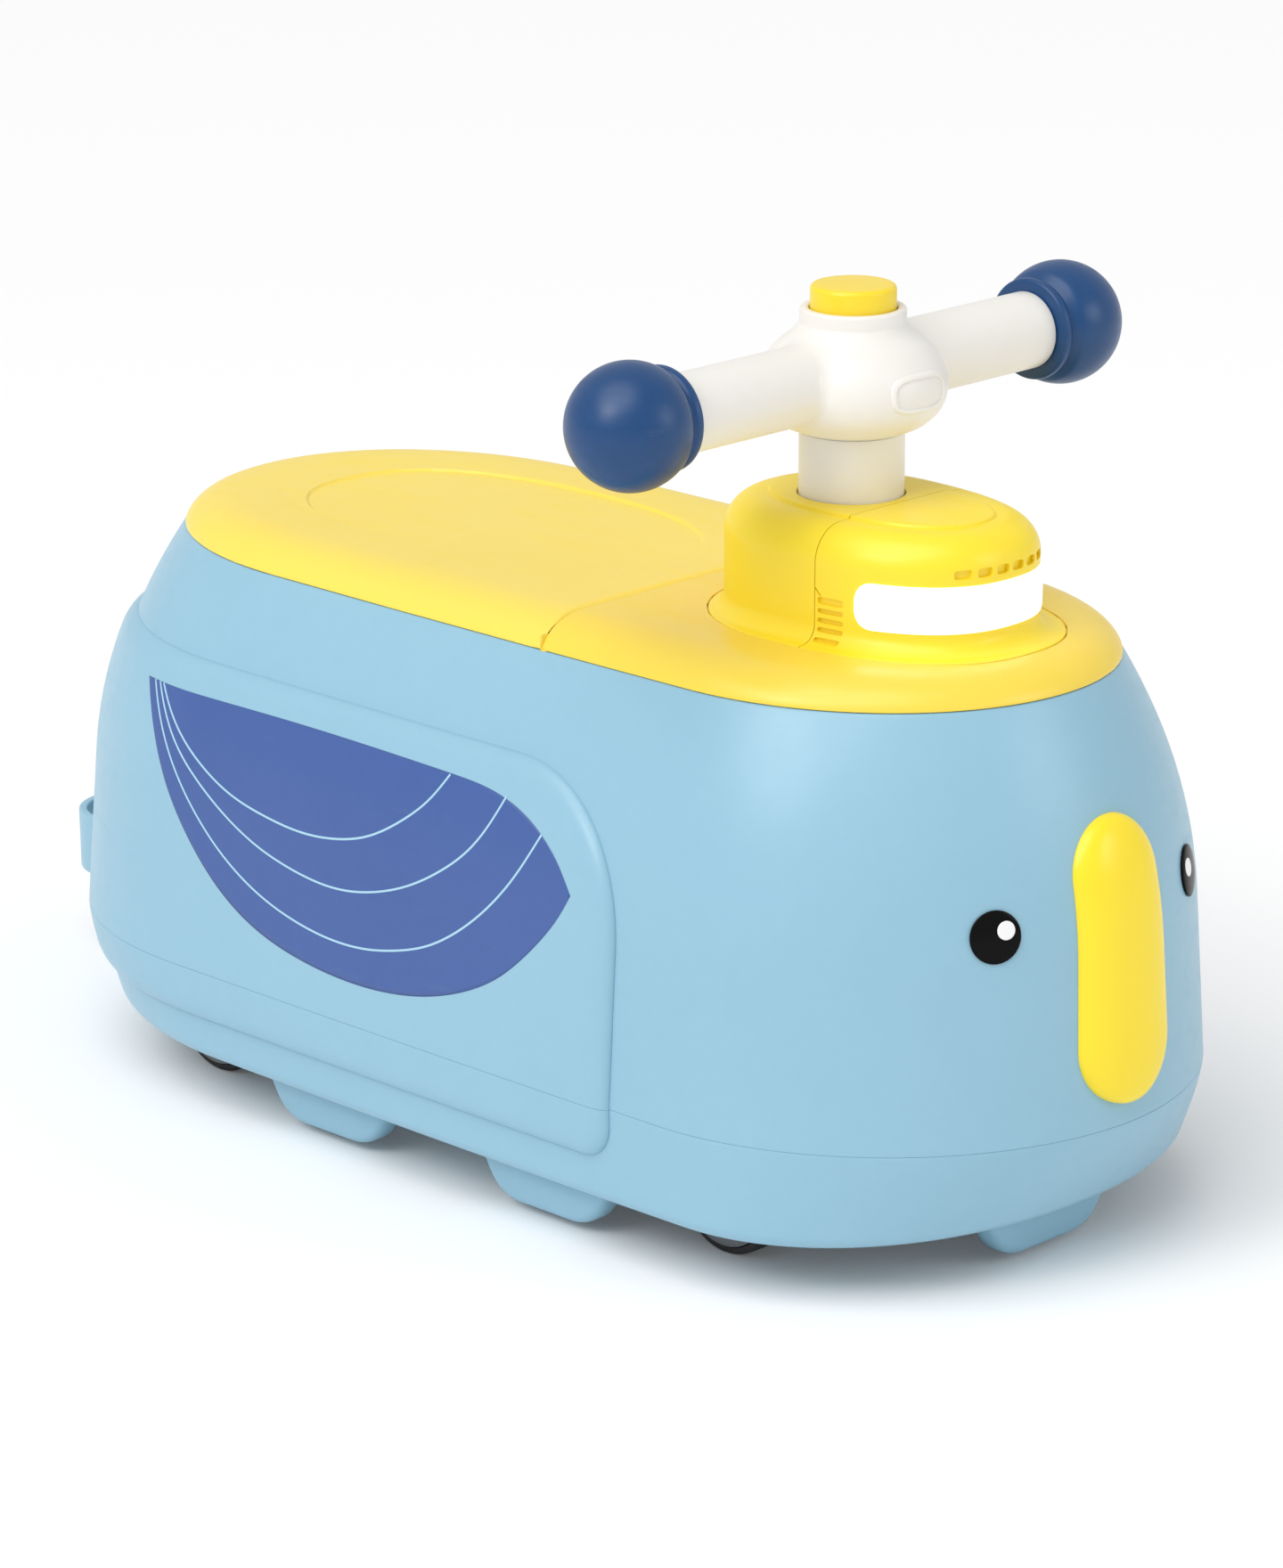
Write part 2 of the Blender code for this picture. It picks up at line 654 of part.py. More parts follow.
HINGE_Y = SPLIT_Y + 2 * GAP + HINGE_R
HINGE_Z = CAP_TOP - HINGE_R


def seat_lid():
    lid = cap("seat_lid")
    lid.location = (0, (HINGE_Y - CENTRE_TO_STEERING) * MM, HINGE_Z * MM)
    lid.data.transform(Matrix.Translation(Vector((0, -HINGE_Y, -HINGE_Z)) * MM))
    edge = rod(bmesh.new(), (-200, HINGE_Y, HINGE_Z), (200, HINGE_Y, HINGE_Z), HINGE_R, 32)
    edge = tool(edge, "lid_edge")
    join(edge, box(bmesh.new(), (-200, 200), (HINGE_Y, 500), (0, 400)))
    combine(lid, "INTERSECT", edge)
    combine(lid, "DIFFERENCE", cap_inside(HINGE_Y + HINGE_R, 500))
    combine(lid, "DIFFERENCE", cap_inside(HINGE_Y - HINGE_R, HINGE_Y + 2 * HINGE_R, HINGE_Z - HINGE_R))
    middle = (RECESS_FRONT + RECESS_REAR) / 2
    length = (RECESS_REAR - RECESS_FRONT) / 2
    def recess(z, grow):
        ring = []
        for i in range(32):
            a = math.tau * i / 32
            c, s = math.cos(a), math.sin(a)
            ring.append((math.copysign(abs(c) ** (2 / 2.4), c) * (RECESS_WIDTH + grow),
                         middle + math.copysign(abs(s) ** (2 / 2.4), s) * (length + grow), z))
        return ring
    floor = CAP_TOP - RECESS_DEPTH
    cut(lid, loft(bmesh.new(), [recess(floor, -1.5), recess(CAP_TOP, 0), recess(CAP_TOP + 5, 0)]))
    slots = bmesh.new()
    bores = bmesh.new()
    reach = EYE_R + GAP
    for side in (-1, 1):
        low, high = sorted((side * (HINGE_X - HINGE_LUG / 2 - GAP), side * (HINGE_X + HINGE_LUG / 2 + GAP)))
        arc = [(HINGE_Y + y, HINGE_Z + z) for y, z in corner((0, 0), reach, 20, 115, 5)]
        room = [(HINGE_Y + reach, HINGE_Z - 12), (HINGE_Y + reach, HINGE_Z), *arc,
                (HINGE_Y - 12, HINGE_Z - 4), (HINGE_Y - 12, HINGE_Z - 12)]
        prism(slots, room, "x", low, high)
        rod(bores, (low - PIN_HOLD - GAP, HINGE_Y, HINGE_Z), (high + PIN_HOLD + GAP, HINGE_Y, HINGE_Z),
            PIN_R + GAP, 12)
    cut(lid, slots)
    cut(lid, bores)
    return lid


def storage_bin():
    top = RIM_Z + GAP
    floor = RIM_Z - BIN_DEPTH
    def ring(z, inset, front):
        return clipped(half_outline(RIM, -inset), front, z)
    tub = finish(loft(bmesh.new(), [ring(floor, BIN_INSET + BIN_TAPER, BIN_FRONT + BIN_TAPER),
                                    ring(top + 0.5, BIN_INSET, BIN_FRONT)]), "storage_bin", SKY)
    join(tub, loft(bmesh.new(), [ring(top, BIN_LIP_INSET, SPLIT_Y + 3 * GAP),
                                 ring(top + BIN_LIP, BIN_LIP_INSET, SPLIT_Y + 3 * GAP)]))
    inset = BIN_INSET + BIN_WALL
    cut(tub, loft(bmesh.new(), [ring(floor + BIN_WALL, inset + BIN_TAPER, BIN_FRONT + BIN_TAPER + BIN_WALL),
                                ring(top + BIN_LIP + 5, inset, BIN_FRONT + BIN_WALL)]))
    lugs = bmesh.new()
    for side in (-1, 1):
        low, high = sorted((side * (HINGE_X - HINGE_LUG / 2), side * (HINGE_X + HINGE_LUG / 2)))
        outline = [(HINGE_Y - 1.6, top + 0.5), (HINGE_Y + 1.6, top + 0.5),
                   *[(HINGE_Y + y, HINGE_Z + z) for y, z in corner((0, 0), EYE_R, -55, 235, 10)]]
        prism(lugs, outline, "x", low, high)
    join(tub, lugs)
    eyes = bmesh.new()
    for side in (-1, 1):
        low, high = side * HINGE_X - HINGE_LUG, side * HINGE_X + HINGE_LUG
        rod(eyes, (low, HINGE_Y, HINGE_Z), (high, HINGE_Y, HINGE_Z), PIN_R + GAP, 12)
    cut(tub, eyes)
    return tub


def lid_pins():
    for name, side in (("lid_pin_left", -1), ("lid_pin_right", 1)):
        half = HINGE_LUG / 2 + PIN_HOLD
        low, high = side * HINGE_X - half, side * HINGE_X + half
        pin = rod(bmesh.new(), (low, HINGE_Y, HINGE_Z), (high, HINGE_Y, HINGE_Z), PIN_R, 12)
        finish(pin, name, STEEL, roughness=0.3, metallic=1.0)


def housing_rings(grow, low, top):
    """Rings of the housing's wall, with its rounded upper edge."""
    rings = [oval(HOUSING, low, grow)]
    start = HOUSING_TOP - HOUSING_ROUND
    for angle in (0, 35, 65, 90):
        a = math.radians(angle)
        inset = HOUSING_ROUND * (1 - math.cos(a))
        rings.append(oval(HOUSING, start + (top - start) * math.sin(a), grow - inset))
    return rings


def lens_solid(bm, outer, inner, low, high, half):
    """A strip that wraps the front of the housing's wall, with rounded ends."""
    count = 22
    radius = (high - low) / 2
    rings = []
    for i in range(count + 1):
        x = half * math.sin(math.pi / 2 * (2 * i / count - 1))
        run = (half - abs(x)) * 1.25
        lift = radius * (1 - math.sqrt(max(1 - max(1 - run / radius, 0.0) ** 2, 0.09)))
        point = Vector((x, wall_y(x)))
        normal = Vector((wall_y(x + 0.5) - wall_y(x - 0.5), -1.0)).normalized()
        front = point + normal * outer
        back = point - normal * inner
        rings.append([(*front, low + lift), (*front, high - lift),
                      (*back, high - lift), (*back, low + lift)])
    return loft(bm, rings)


def housing(name, low_y, high_y):
    flange_low = HOUSING_BASE - FLANGE_DEPTH
    rings = [oval(FLANGE, flange_low), oval(FLANGE, HOUSING_BASE)]
    rings += housing_rings(0, HOUSING_BASE, HOUSING_TOP)
    rings += [oval(PLATEAU, HOUSING_TOP), oval(PLATEAU, HOUSING_TOP + PLATEAU_RISE, -1)]
    shell = finish(loft(bmesh.new(), rings), name, YELLOW)
    cut(shell, loft(bmesh.new(), housing_rings(-HOUSING_WALL, flange_low - 5, HOUSING_TOP - HOUSING_WALL)))
    stem_room = rod(bmesh.new(), (0, 0, HOUSING_TOP - 25), (0, 0, HOUSING_TOP + 15), STEM_R + 2 * GAP, 32)
    cut(shell, stem_room)
    keep(shell, box(bmesh.new(), (-100, 100), (low_y, high_y), (200, 400)))
    return shell


def housing_halves():
    housing("housing_rear", HOUSING_SPLIT + GAP / 2, 100)
    front = housing("housing_front", -200, HOUSING_SPLIT - GAP / 2)
    back = wall_y(0, -HOUSING_WALL) + BOARD_BACK
    bosses = bmesh.new()
    for side in (-1, 1):
        box(bosses, sorted((side * (BOARD_HALF - 5), side * (BOARD_HALF - 1))), (back - 6, back - GAP),
            (HOUSING_BASE + 1, HOUSING_BASE + 6))
    join(front, bosses)
    window = lens_solid(bmesh.new(), 6, 6, LENS_LOW - GAP, LENS_HIGH + GAP, LENS_HALF + GAP)
    cut(front, window)
    slots = bmesh.new()
    for x in [side * x for x in VENT_X for side in (-1, 1)]:
        slope = (wall_y(x + 1) - wall_y(x - 1)) / 2
        turn = Matrix.Rotation(math.atan(slope), 4, "Z")
        place = Matrix.Translation((x, wall_y(x), VENT_Z)) @ turn
        bmesh.ops.create_cube(slots, size=1.0, matrix=place @ Matrix.Diagonal((VENT_SIZE[0], 14, VENT_SIZE[1], 1)))
    cut(front, slots)
    grooves = bmesh.new()
    ends = [HOUSING_SPLIT - reach for reach in RIB_REACH]
    for side in (-1, 1):
        outline = [(side * (wall_x(y) - RIB_DEPTH), y) for y in ends]
        outline += [(side * (HOUSING[0] + 5), y) for y in ends[::-1]]
        for i in range(RIB_COUNT):
            z = HOUSING_BASE + RIB_FOOT + i * RIB_PITCH
            prism(grooves, outline, "z", z - RIB_GROOVE / 2, z + RIB_GROOVE / 2)
    cut(front, grooves)


def lamp():
    bm = lens_solid(bmesh.new(), LENS_PROUD, LENS_THICK - LENS_PROUD, LENS_LOW, LENS_HIGH, LENS_HALF)
    finish(bm, "light_lens", LIGHT, roughness=0.25)
    back = wall_y(0, -HOUSING_WALL) + BOARD_BACK
    middle = (LENS_LOW + LENS_HIGH) / 2
    plate = box(bmesh.new(), (-BOARD_HALF, BOARD_HALF), (back, back + BOARD_THICK),
                (HOUSING_BASE + 1, LENS_HIGH - 1))
    board = finish(plate, "light_board", GREEN)
    leds = bmesh.new()
    for x in (-15, 0, 15):
        rod(leds, (x, back + 0.5, middle), (x, back - 2.4, middle), 2.5, 10)
    join(board, leds)


def column():
    """The steering stem with its shaft, which is bored from above for the wires."""
    shaft_low = WHEEL_R + SHAFT_LIFT
    neck = STEM_R - NECK_STEP
    profile = [(0, shaft_low), (SHAFT_R, shaft_low), (SHAFT_R, STEM_FOOT - 6), (STEM_R, STEM_FOOT),
               (STEM_R, HUB_FOOT - GAP), (neck, HUB_FOOT - GAP), (neck, STEM_TOP),
               (STEM_BORE, STEM_TOP), (STEM_BORE, shaft_low + 24), (0, shaft_low + 24)]
    stem = finish(turned(bmesh.new(), profile, (0, 0, 0), (0, 0, 1), 24), "steering_column", IVORY)
    cut(stem, rod(bmesh.new(), (0, 0, shaft_low - 5), (0, 0, shaft_low + 18), SCREW_R * 2 + GAP, 12))


def ring(name, colour, inner, outer, low, high, sides=22):
    profile = [(inner, low), (outer, low), (outer, high), (inner, high)]
    return finish(turned(bmesh.new(), profile, (0, 0, 0), (0, 0, 1), sides), name, colour)


def steering_fittings():
    inner = SHAFT_R + RUN
    outer = inner + BUSH_WALL
    flange = [(inner, WELL_TOP + 1), (outer, WELL_TOP + 1), (outer, BOSS_TOP + GAP),
              (outer + 4, BOSS_TOP + GAP), (outer + 4, BOSS_TOP + 2.5), (inner, BOSS_TOP + 2.5)]
    finish(turned(bmesh.new(), flange, (0, 0, 0), (0, 0, 1), 20), "lower_bush", IVORY)
    ceiling = HOUSING_TOP - HOUSING_WALL
    ring("upper_bush", IVORY, STEM_R + RUN, STEM_R + 5, ceiling - 10, ceiling - GAP)
    ring("thrust_washer", BLACK, SHAFT_R + GAP, CARRIER_R, WELL_TOP - GAP - WASHER, WELL_TOP - GAP)
    top = WELL_TOP - 2 * GAP - WASHER
    bracket = AXLE_R + BRACKET_WALL
    floor = WHEEL_R + SHAFT_LIFT - SHAFT_SINK
    ledge = WHEEL_R + SHAFT_LIFT + 1
    ear = WHEEL_FACE - WHEEL_WIDTH - WHEEL_ROOM
    carrier = finish(rod(bmesh.new(), (0, 0, floor), (0, 0, top), CARRIER_R, 20), "front_axle_carrier", GREY)
    join(carrier, box(bmesh.new(), (-ear, ear), (FRONT_AXLE_Y - bracket, FRONT_AXLE_Y + bracket),
                      (WHEEL_R - bracket, ledge)))
    join(carrier, box(bmesh.new(), (-SHAFT_R, SHAFT_R), (FRONT_AXLE_Y, 10), (floor, ledge)))
    cut(carrier, rod(bmesh.new(), (0, 0, ledge - 1 - GAP), (0, 0, top + 5), SHAFT_R + GAP, 24))
    cut(carrier, rod(bmesh.new(), (0, 0, 0), (0, 0, top - 5), SCREW_R * 2 + GAP, 12))
    axle_room = WHEEL_FACE - WHEEL_WIDTH
    cut(carrier, rod(bmesh.new(), (-axle_room, FRONT_AXLE_Y, WHEEL_R), (axle_room, FRONT_AXLE_Y, WHEEL_R),
                     AXLE_R + GAP, 16))
    bolt = rod(bmesh.new(), (0, 0, floor - GAP), (0, 0, floor - 4), 6, 6)
    bolt = finish(bolt, "steering_bolt", STEEL, roughness=0.3, metallic=1.0)
    join(bolt, rod(bmesh.new(), (0, 0, floor - 1), (0, 0, floor + 21), SCREW_R * 2, 12))


def running_gear():
    reach = WHEEL_FACE - 6
    hub_r = WHEEL_R - TYRE_FACE
    for end, y in (("front", FRONT_AXLE_Y), ("rear", REAR_AXLE_Y)):
        bm = rod(bmesh.new(), (-reach, y, WHEEL_R), (reach, y, WHEEL_R), AXLE_R, 16)
        finish(bm, f"{end}_axle", STEEL, roughness=0.3, metallic=1.0)
        for name, side in (("left", -1), ("right", 1)):
            inner = WHEEL_FACE - WHEEL_WIDTH
            hub = [(0, WHEEL_FACE - 1.5), (hub_r - 5, WHEEL_FACE - 1.5), (hub_r - 3, WHEEL_FACE),
                   (hub_r, WHEEL_FACE), (hub_r, inner + 1), (AXLE_R + 3, inner - 1.5),
                   (AXLE_R + RUN, inner - 1.5), (AXLE_R + RUN, reach + 1), (0, reach + 1)]
            tyre = [(hub_r + GAP, WHEEL_FACE - 1), (WHEEL_R - 1.5, WHEEL_FACE - 1),
                    (WHEEL_R, WHEEL_FACE - 3), (WHEEL_R, inner + 3), (WHEEL_R - 1.5, inner + 1),
                    (hub_r + GAP, inner + 1)]
            place = (0, y, WHEEL_R)
            centre = (side * (WHEEL_FACE - WHEEL_WIDTH / 2), y, WHEEL_R)
            finish(turned(bmesh.new(), hub, place, (side, 0, 0), 16), f"wheel_hub_{end}_{name}", GREY, centre)
            finish(turned(bmesh.new(), tyre, place, (side, 0, 0), 22), f"tyre_{end}_{name}", BLACK, centre, 0.8)


def hub_solid(bm, grow=0.0):
    """The round hub of the handlebar, made larger all round where it cuts or carries the badge."""
    profile = [(r + grow, BAR_Z + rise) for r, rise in HUB_PROFILE]
    return turned(bm, [(0, HUB_FOOT), *profile, (0, HUB_TOP)], (0, 0, 0), (0, 0, 1), 24)


def badge_outline(sizes):
    angles = [math.tau * i / 14 for i in range(14)]
    return [(sizes[0] * math.cos(a), BAR_Z - BADGE_DROP + sizes[1] * math.sin(a)) for a in angles]


def handlebar():
    bar = finish(hub_solid(bmesh.new()), "handlebar", IVORY, (0, 0, BAR_Z))
    end = BALL_X - COLLAR_END - GAP
    join(bar, rod(bmesh.new(), (-end, 0, BAR_Z), (end, 0, BAR_Z), BAR_R, 20))
    badge = tool(hub_solid(bmesh.new(), BADGE_PROUD), "badge")
    keep(badge, prism(bmesh.new(), badge_outline(BADGE_OUTER), "y", -60, -28))
    cut(badge, prism(bmesh.new(), badge_outline(BADGE_INNER), "y", -60, -20))
    combine(bar, "UNION", badge)
    neck = STEM_R - NECK_STEP + GAP
    skirt = BUTTON_R + BUTTON_LIP + 2 * GAP
    inside = [(r, BAR_Z + rise) for r, rise in HUB_ROOM]
    stop = BUTTON_FOOT + LIP_THICK + GAP
    room = [(0, HUB_FOOT - 1), (neck, HUB_FOOT - 1), (neck, HUB_FOOT + NECK_DEPTH), *inside,
            (BUTTON_R - 0.4, inside[-1][1]), (BUTTON_R - 0.4, BOARD_Z), (skirt, BOARD_Z), (skirt, stop),
            (BUTTON_R + GAP, stop), (BUTTON_R + GAP, HUB_TOP + 6), (0, HUB_TOP + 6)]
    cut(bar, turned(bmesh.new(), room, (0, 0, 0), (0, 0, 1), 24))
    for side in (-1, 1):
        bore = rod(bmesh.new(), (side * (STEM_R + 2), 0, BAR_Z), (side * (end + 40), 0, BAR_Z),
                   BAR_R - BAR_WALL, 18)
        cut(bar, bore)


def grips():
    for name, side in (("grip_left", -1), ("grip_right", 1)):
        start = math.degrees(math.atan2(GROOVE_R, -GROOVE_BACK))
        arc = corner((0, 0), BALL_R, 0, start - 11, 8)
        profile = [(r, BALL_X + along) for along, r in arc]
        profile[0] = (0, BALL_X + BALL_R)
        plug = BAR_R - BAR_WALL - GAP
        collar = BALL_X - COLLAR_END
        profile += [(GROOVE_R, BALL_X - GROOVE_BACK - 0.6), (COLLAR_R - 0.4, collar + 3.8),
                    (COLLAR_R, collar + 1.8), (COLLAR_R - 0.8, collar), (plug, collar),
                    (plug, collar - PLUG_LENGTH), (0, collar - PLUG_LENGTH)]
        bm = turned(bmesh.new(), profile, (0, 0, BAR_Z), (side, 0, 0), 20)
        finish(bm, name, NAVY, (side * BALL_X, 0, BAR_Z))


def horn():
    top, foot, lip = BUTTON_TOP, BUTTON_FOOT, BUTTON_R + BUTTON_LIP
    inner = BUTTON_R - BUTTON_WALL
    profile = [(0, top), (BUTTON_R - 3.5, top), (BUTTON_R - 1, top - 1), (BUTTON_R, top - 3.4),
               (BUTTON_R, foot + LIP_THICK), (lip, foot + LIP_THICK), (lip, foot), (inner, foot),
               (inner, top - BUTTON_CROWN), (0, top - BUTTON_CROWN)]
    finish(turned(bmesh.new(), profile, (0, 0, 0), (0, 0, 1), 24), "horn_button", YELLOW, (0, 0, foot))
    board = lip + GAP
    upper = BOARD_Z + BOARD_THICK
    disc = [(0, BOARD_Z + GAP), (board, BOARD_Z + GAP), (board, upper), (4, upper), (4, upper + 1.6),
            (0, upper + 1.6)]
    finish(turned(bmesh.new(), disc, (0, 0, 0), (0, 0, 1), 16), "horn_board", GREEN, (0, 0, BOARD_Z))
    cone = [(0, BOARD_Z - 9), (7, BOARD_Z - 9), (7, BOARD_Z - 5), (14, BOARD_Z - 2), (14, BOARD_Z),
            (0, BOARD_Z)]
    finish(turned(bmesh.new(), cone, (0, 0, 0), (0, 0, 1), 16), "horn_speaker", BLACK, (0, 0, BOARD_Z))
    wire, coil, turns, steps = 0.7, 9.0, 5, 10
    low = upper + GAP + wire
    high = top - BUTTON_CROWN - GAP - wire
    line = bpy.data.curves.new("horn_spring", "CURVE")
    line.dimensions = "3D"
    line.bevel_depth = wire * MM
    line.bevel_resolution = 0
    line.use_fill_caps = True
    spline = line.splines.new("POLY")
    spline.points.add(turns * steps)
    for i in range(turns * steps + 1):
        a = math.tau * i / steps
        z = low + (high - low) * i / (turns * steps)
        spline.points[i].co = (coil * math.cos(a) * MM, coil * math.sin(a) * MM, (z - low) * MM, 1)
    spring = bpy.data.objects.new("horn_spring", line)
    spring.location = (0, -CENTRE_TO_STEERING * MM, low * MM)
    material = bpy.data.materials.new("horn_spring")
    material.use_nodes = True
    material.node_tree.nodes["Principled BSDF"].inputs["Metallic"].default_value = 1.0
    line.materials.append(material)
    parts.objects.link(spring)
    print(f"spring: least gap between turns {(high - low) / turns - 2 * wire:.2f} mm")


def beak():
    """A domed strip whose back follows the body, with two pegs."""
    levels, across = 12, 6
    rings = []
    for i in range(levels + 1):
        share = (1 - math.cos(math.pi * i / levels)) / 2
        z = BEAK_LOW + (BEAK_HIGH - BEAK_LOW) * share
        widest = BEAK_LOW_HALF + (BEAK_TOP_HALF - BEAK_LOW_HALF) * share
        into = min(z - BEAK_LOW, BEAK_HIGH - z)
        end = math.sqrt(max(1 - max(1 - into / widest, 0.0) ** 2, 0.0))
        half = max(widest * end, 5.0)
        front = []
        back = []
        for j in range(across + 1):
            s = -math.cos(math.pi * j / across)
            x = half * s
            y = face_y(x, z) - GAP
            dome = BEAK_EDGE + (BEAK_PROUD - BEAK_EDGE) * math.sqrt(max(1 - s * s, 0)) * math.sqrt(end)
            front.append((x, y - dome, z))
            back.append((x, y, z))
        rings.append(front + back[::-1])
    obj = finish(loft(bmesh.new(), rings), "beak", YELLOW)
    pegs = bmesh.new()
    for z in BEAK_PEGS:
        y = face_y(0, z)
        rod(pegs, (0, y - 2, z), (0, y + 8, z), PEG_R, 8)
    join(obj, pegs)


def eyes():
    for name, side in (("eye_left", -1), ("eye_right", 1)):
        place, normal = EYES[side]
        r = EYE_DISC
        top = EYE_PROUD + GAP
        profile = [(0, -8), (PEG_R, -8), (PEG_R, GAP), (r, GAP), (r, GAP + 1), (r * 0.87, top * 0.58),
                   (r * 0.55, top * 0.85), (0, top)]
        bm = turned(bmesh.new(), profile, place, normal, 18)
        finish(bm, name, BLACK, tuple(place), 0.15)


def tow_loop():
    inner_end = back_y(LOOP_R + 6, LOOP_LOW) - WALL - GAP - 0.5
    def ring_at(z, radius, start):
        arc = corner((0, LOOP_Y), radius, 0, 180, 12)
        return [(radius, start, z), *[(x, y, z) for x, y in arc], (-radius, start, z)]
    bm = loft(bmesh.new(), [ring_at(LOOP_LOW, LOOP_R - 0.8, inner_end), ring_at(LOOP_HIGH, LOOP_R, inner_end)])
    loop = finish(bm, "tow_loop", SKY)
    hole = LOOP_R - LOOP_WALL
    through = [ring_at(LOOP_LOW - 5, hole, inner_end - 9), ring_at(LOOP_HIGH + 5, hole, inner_end - 9)]
    cut(loop, loft(bmesh.new(), through))
    box_y = (inner_end - 4, inner_end + 0.5)
    join(loop, box(bmesh.new(), (-LOOP_R - 6, LOOP_R + 6), box_y, (LOOP_LOW + 2, LOOP_HIGH)))


def foot_outline(middle):
    top = BASE_Z - GAP
    long, short = FOOT_HALF_TOP, FOOT_HALF_LOW
    half = [(long, top), (long - 1.5, top - 4), (short + 3, FOOT_LOW + 2.2), (short, FOOT_LOW)]
    return [(middle - y, z) for y, z in half] + [(middle + y, z) for y, z in half[::-1]]


def feet():
    for place, y in zip(("front", "rear"), FOOT_Y):
        for name, side in (("left", -1), ("right", 1)):
            low, high = sorted((side * FOOT_INNER, side * FOOT_OUTER))
            foot = finish(prism(bmesh.new(), foot_outline(y), "x", low, high), f"foot_{place}_{name}", SKY)
            x = (low + high) / 2
            join(foot, rod(bmesh.new(), (x, y, BASE_Z - 4), (x, y, BASE_Z + WALL + 2), PEG_R, 8))
    for name, low in (("front_foot", FRONT_FOOT_Y), ("rear_foot", REAR_FOOT_Y - END_FOOT_DEPTH)):
        foot = finish(prism(bmesh.new(), foot_outline(0), "y", low, low + END_FOOT_DEPTH), name, SKY)
        y = low + END_FOOT_DEPTH / 2
        join(foot, rod(bmesh.new(), (0, y, BASE_Z - 4), (0, y, BASE_Z + WALL + 2), PEG_R, 8))


def battery_compartment():
    (left, right), (front, rear) = door_size(0)
    door_top = BASE_Z + DOOR
    tray_low = BASE_Z + WALL + GAP
    tray_top = door_top + 2 * CELL_R + 5
    screw_y = CELL_Y[-1] + CELL_R + SCREW_EDGE / 2
    tray = box(bmesh.new(), (left - 5, right + 5), (front - 5, rear + 5), (tray_low, tray_low + BOX_WALL))
    tray = finish(tray, "battery_box", BLACK)
    join(tray, box(bmesh.new(), (left + 2, right - 2), (front + 2, rear - 2), (tray_low, tray_top + BOX_WALL)))
    cut(tray, box(bmesh.new(), (left + 4, right - 4), (front + 4, CELL_Y[-1] + CELL_R + 1), (BASE_Z, tray_top)))
    cut(tray, rod(bmesh.new(), (0, screw_y, BASE_Z), (0, screw_y, tray_top - 4), SCREW_R + GAP, 8))
    door = finish(box(bmesh.new(), (left, right), (front, rear), (BASE_Z, door_top)), "battery_door", SKY)
    cut(door, rod(bmesh.new(), (0, screw_y, BASE_Z - 5), (0, screw_y, BASE_Z + 5), SCREW_R + GAP, 12))
    sink = BASE_Z + SCREW_HEAD + GAP
    cut(door, rod(bmesh.new(), (0, screw_y, BASE_Z - 5), (0, screw_y, sink), SCREW_HEAD_R + GAP, 12))
    screw = rod(bmesh.new(), (0, screw_y, BASE_Z), (0, screw_y, BASE_Z + SCREW_HEAD), SCREW_HEAD_R, 8)
    screw = finish(screw, "battery_door_screw", STEEL, roughness=0.3, metallic=1.0)
    join(screw, rod(bmesh.new(), (0, screw_y, BASE_Z + 1), (0, screw_y, BASE_Z + 12), SCREW_R, 10))
    z = door_top + GAP + CELL_R
    for i, y in enumerate(CELL_Y, 1):
        start = 1 - CELL_LENGTH / 2
        cell = [(0, start), (CELL_R, start), (CELL_R, -start), (2.6, -start), (2.6, 1 - start), (0, 1 - start)]
        finish(turned(bmesh.new(), cell, (0, y, z), (1, 0, 0), 14), f"battery_{i}", GREY)


def base_screws():
    for i, (x, y) in enumerate(POSTS, 1):
        head = BASE_Z + SCREW_SINK
        screw = rod(bmesh.new(), (x, y, head - 3), (x, y, head - GAP), SCREW_HEAD_R, 8)
        screw = finish(screw, f"base_screw_{i}", STEEL, roughness=0.3, metallic=1.0)
        join(screw, rod(bmesh.new(), (x, y, head - 2), (x, y, SEAM_Z + 20), SCREW_R, 6))


upper_shell()
lower_base()
storage_bin()
front_deck()
seat_lid()
lid_pins()
housing_halves()
lamp()
column()
steering_fittings()
running_gear()
handlebar()
grips()
horn()
beak()
eyes()
tow_loop()
feet()
battery_compartment()
base_screws()
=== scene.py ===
"""Looks of the bird-shaped toddler ride-on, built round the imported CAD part.

Shapes are worked out on whole arrays, in millimetres from the steering axis: x to the side, y
backwards and z up from the floor. merged() moves them into the frame, whose origin lies
MIDDLE_Y behind the steering axis, and turns them into metres.
"""

import math
from collections import namedtuple

import bmesh
import bpy
import numpy as np
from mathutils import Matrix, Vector


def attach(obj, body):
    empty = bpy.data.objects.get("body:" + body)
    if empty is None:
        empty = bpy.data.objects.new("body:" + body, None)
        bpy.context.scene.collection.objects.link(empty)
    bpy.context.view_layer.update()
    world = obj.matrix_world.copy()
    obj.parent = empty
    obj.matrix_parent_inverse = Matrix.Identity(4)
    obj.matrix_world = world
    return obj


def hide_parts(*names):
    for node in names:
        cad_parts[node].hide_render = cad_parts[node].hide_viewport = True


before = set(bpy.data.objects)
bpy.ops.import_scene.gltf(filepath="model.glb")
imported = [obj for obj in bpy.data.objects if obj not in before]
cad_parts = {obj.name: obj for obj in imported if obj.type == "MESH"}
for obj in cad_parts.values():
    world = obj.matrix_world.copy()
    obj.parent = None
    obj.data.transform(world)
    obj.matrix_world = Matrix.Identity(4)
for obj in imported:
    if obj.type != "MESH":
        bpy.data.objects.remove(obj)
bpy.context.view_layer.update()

MM = 0.001
MIDDLE_Y = 162.0
MIDDLE = np.array([0, 100, 120])

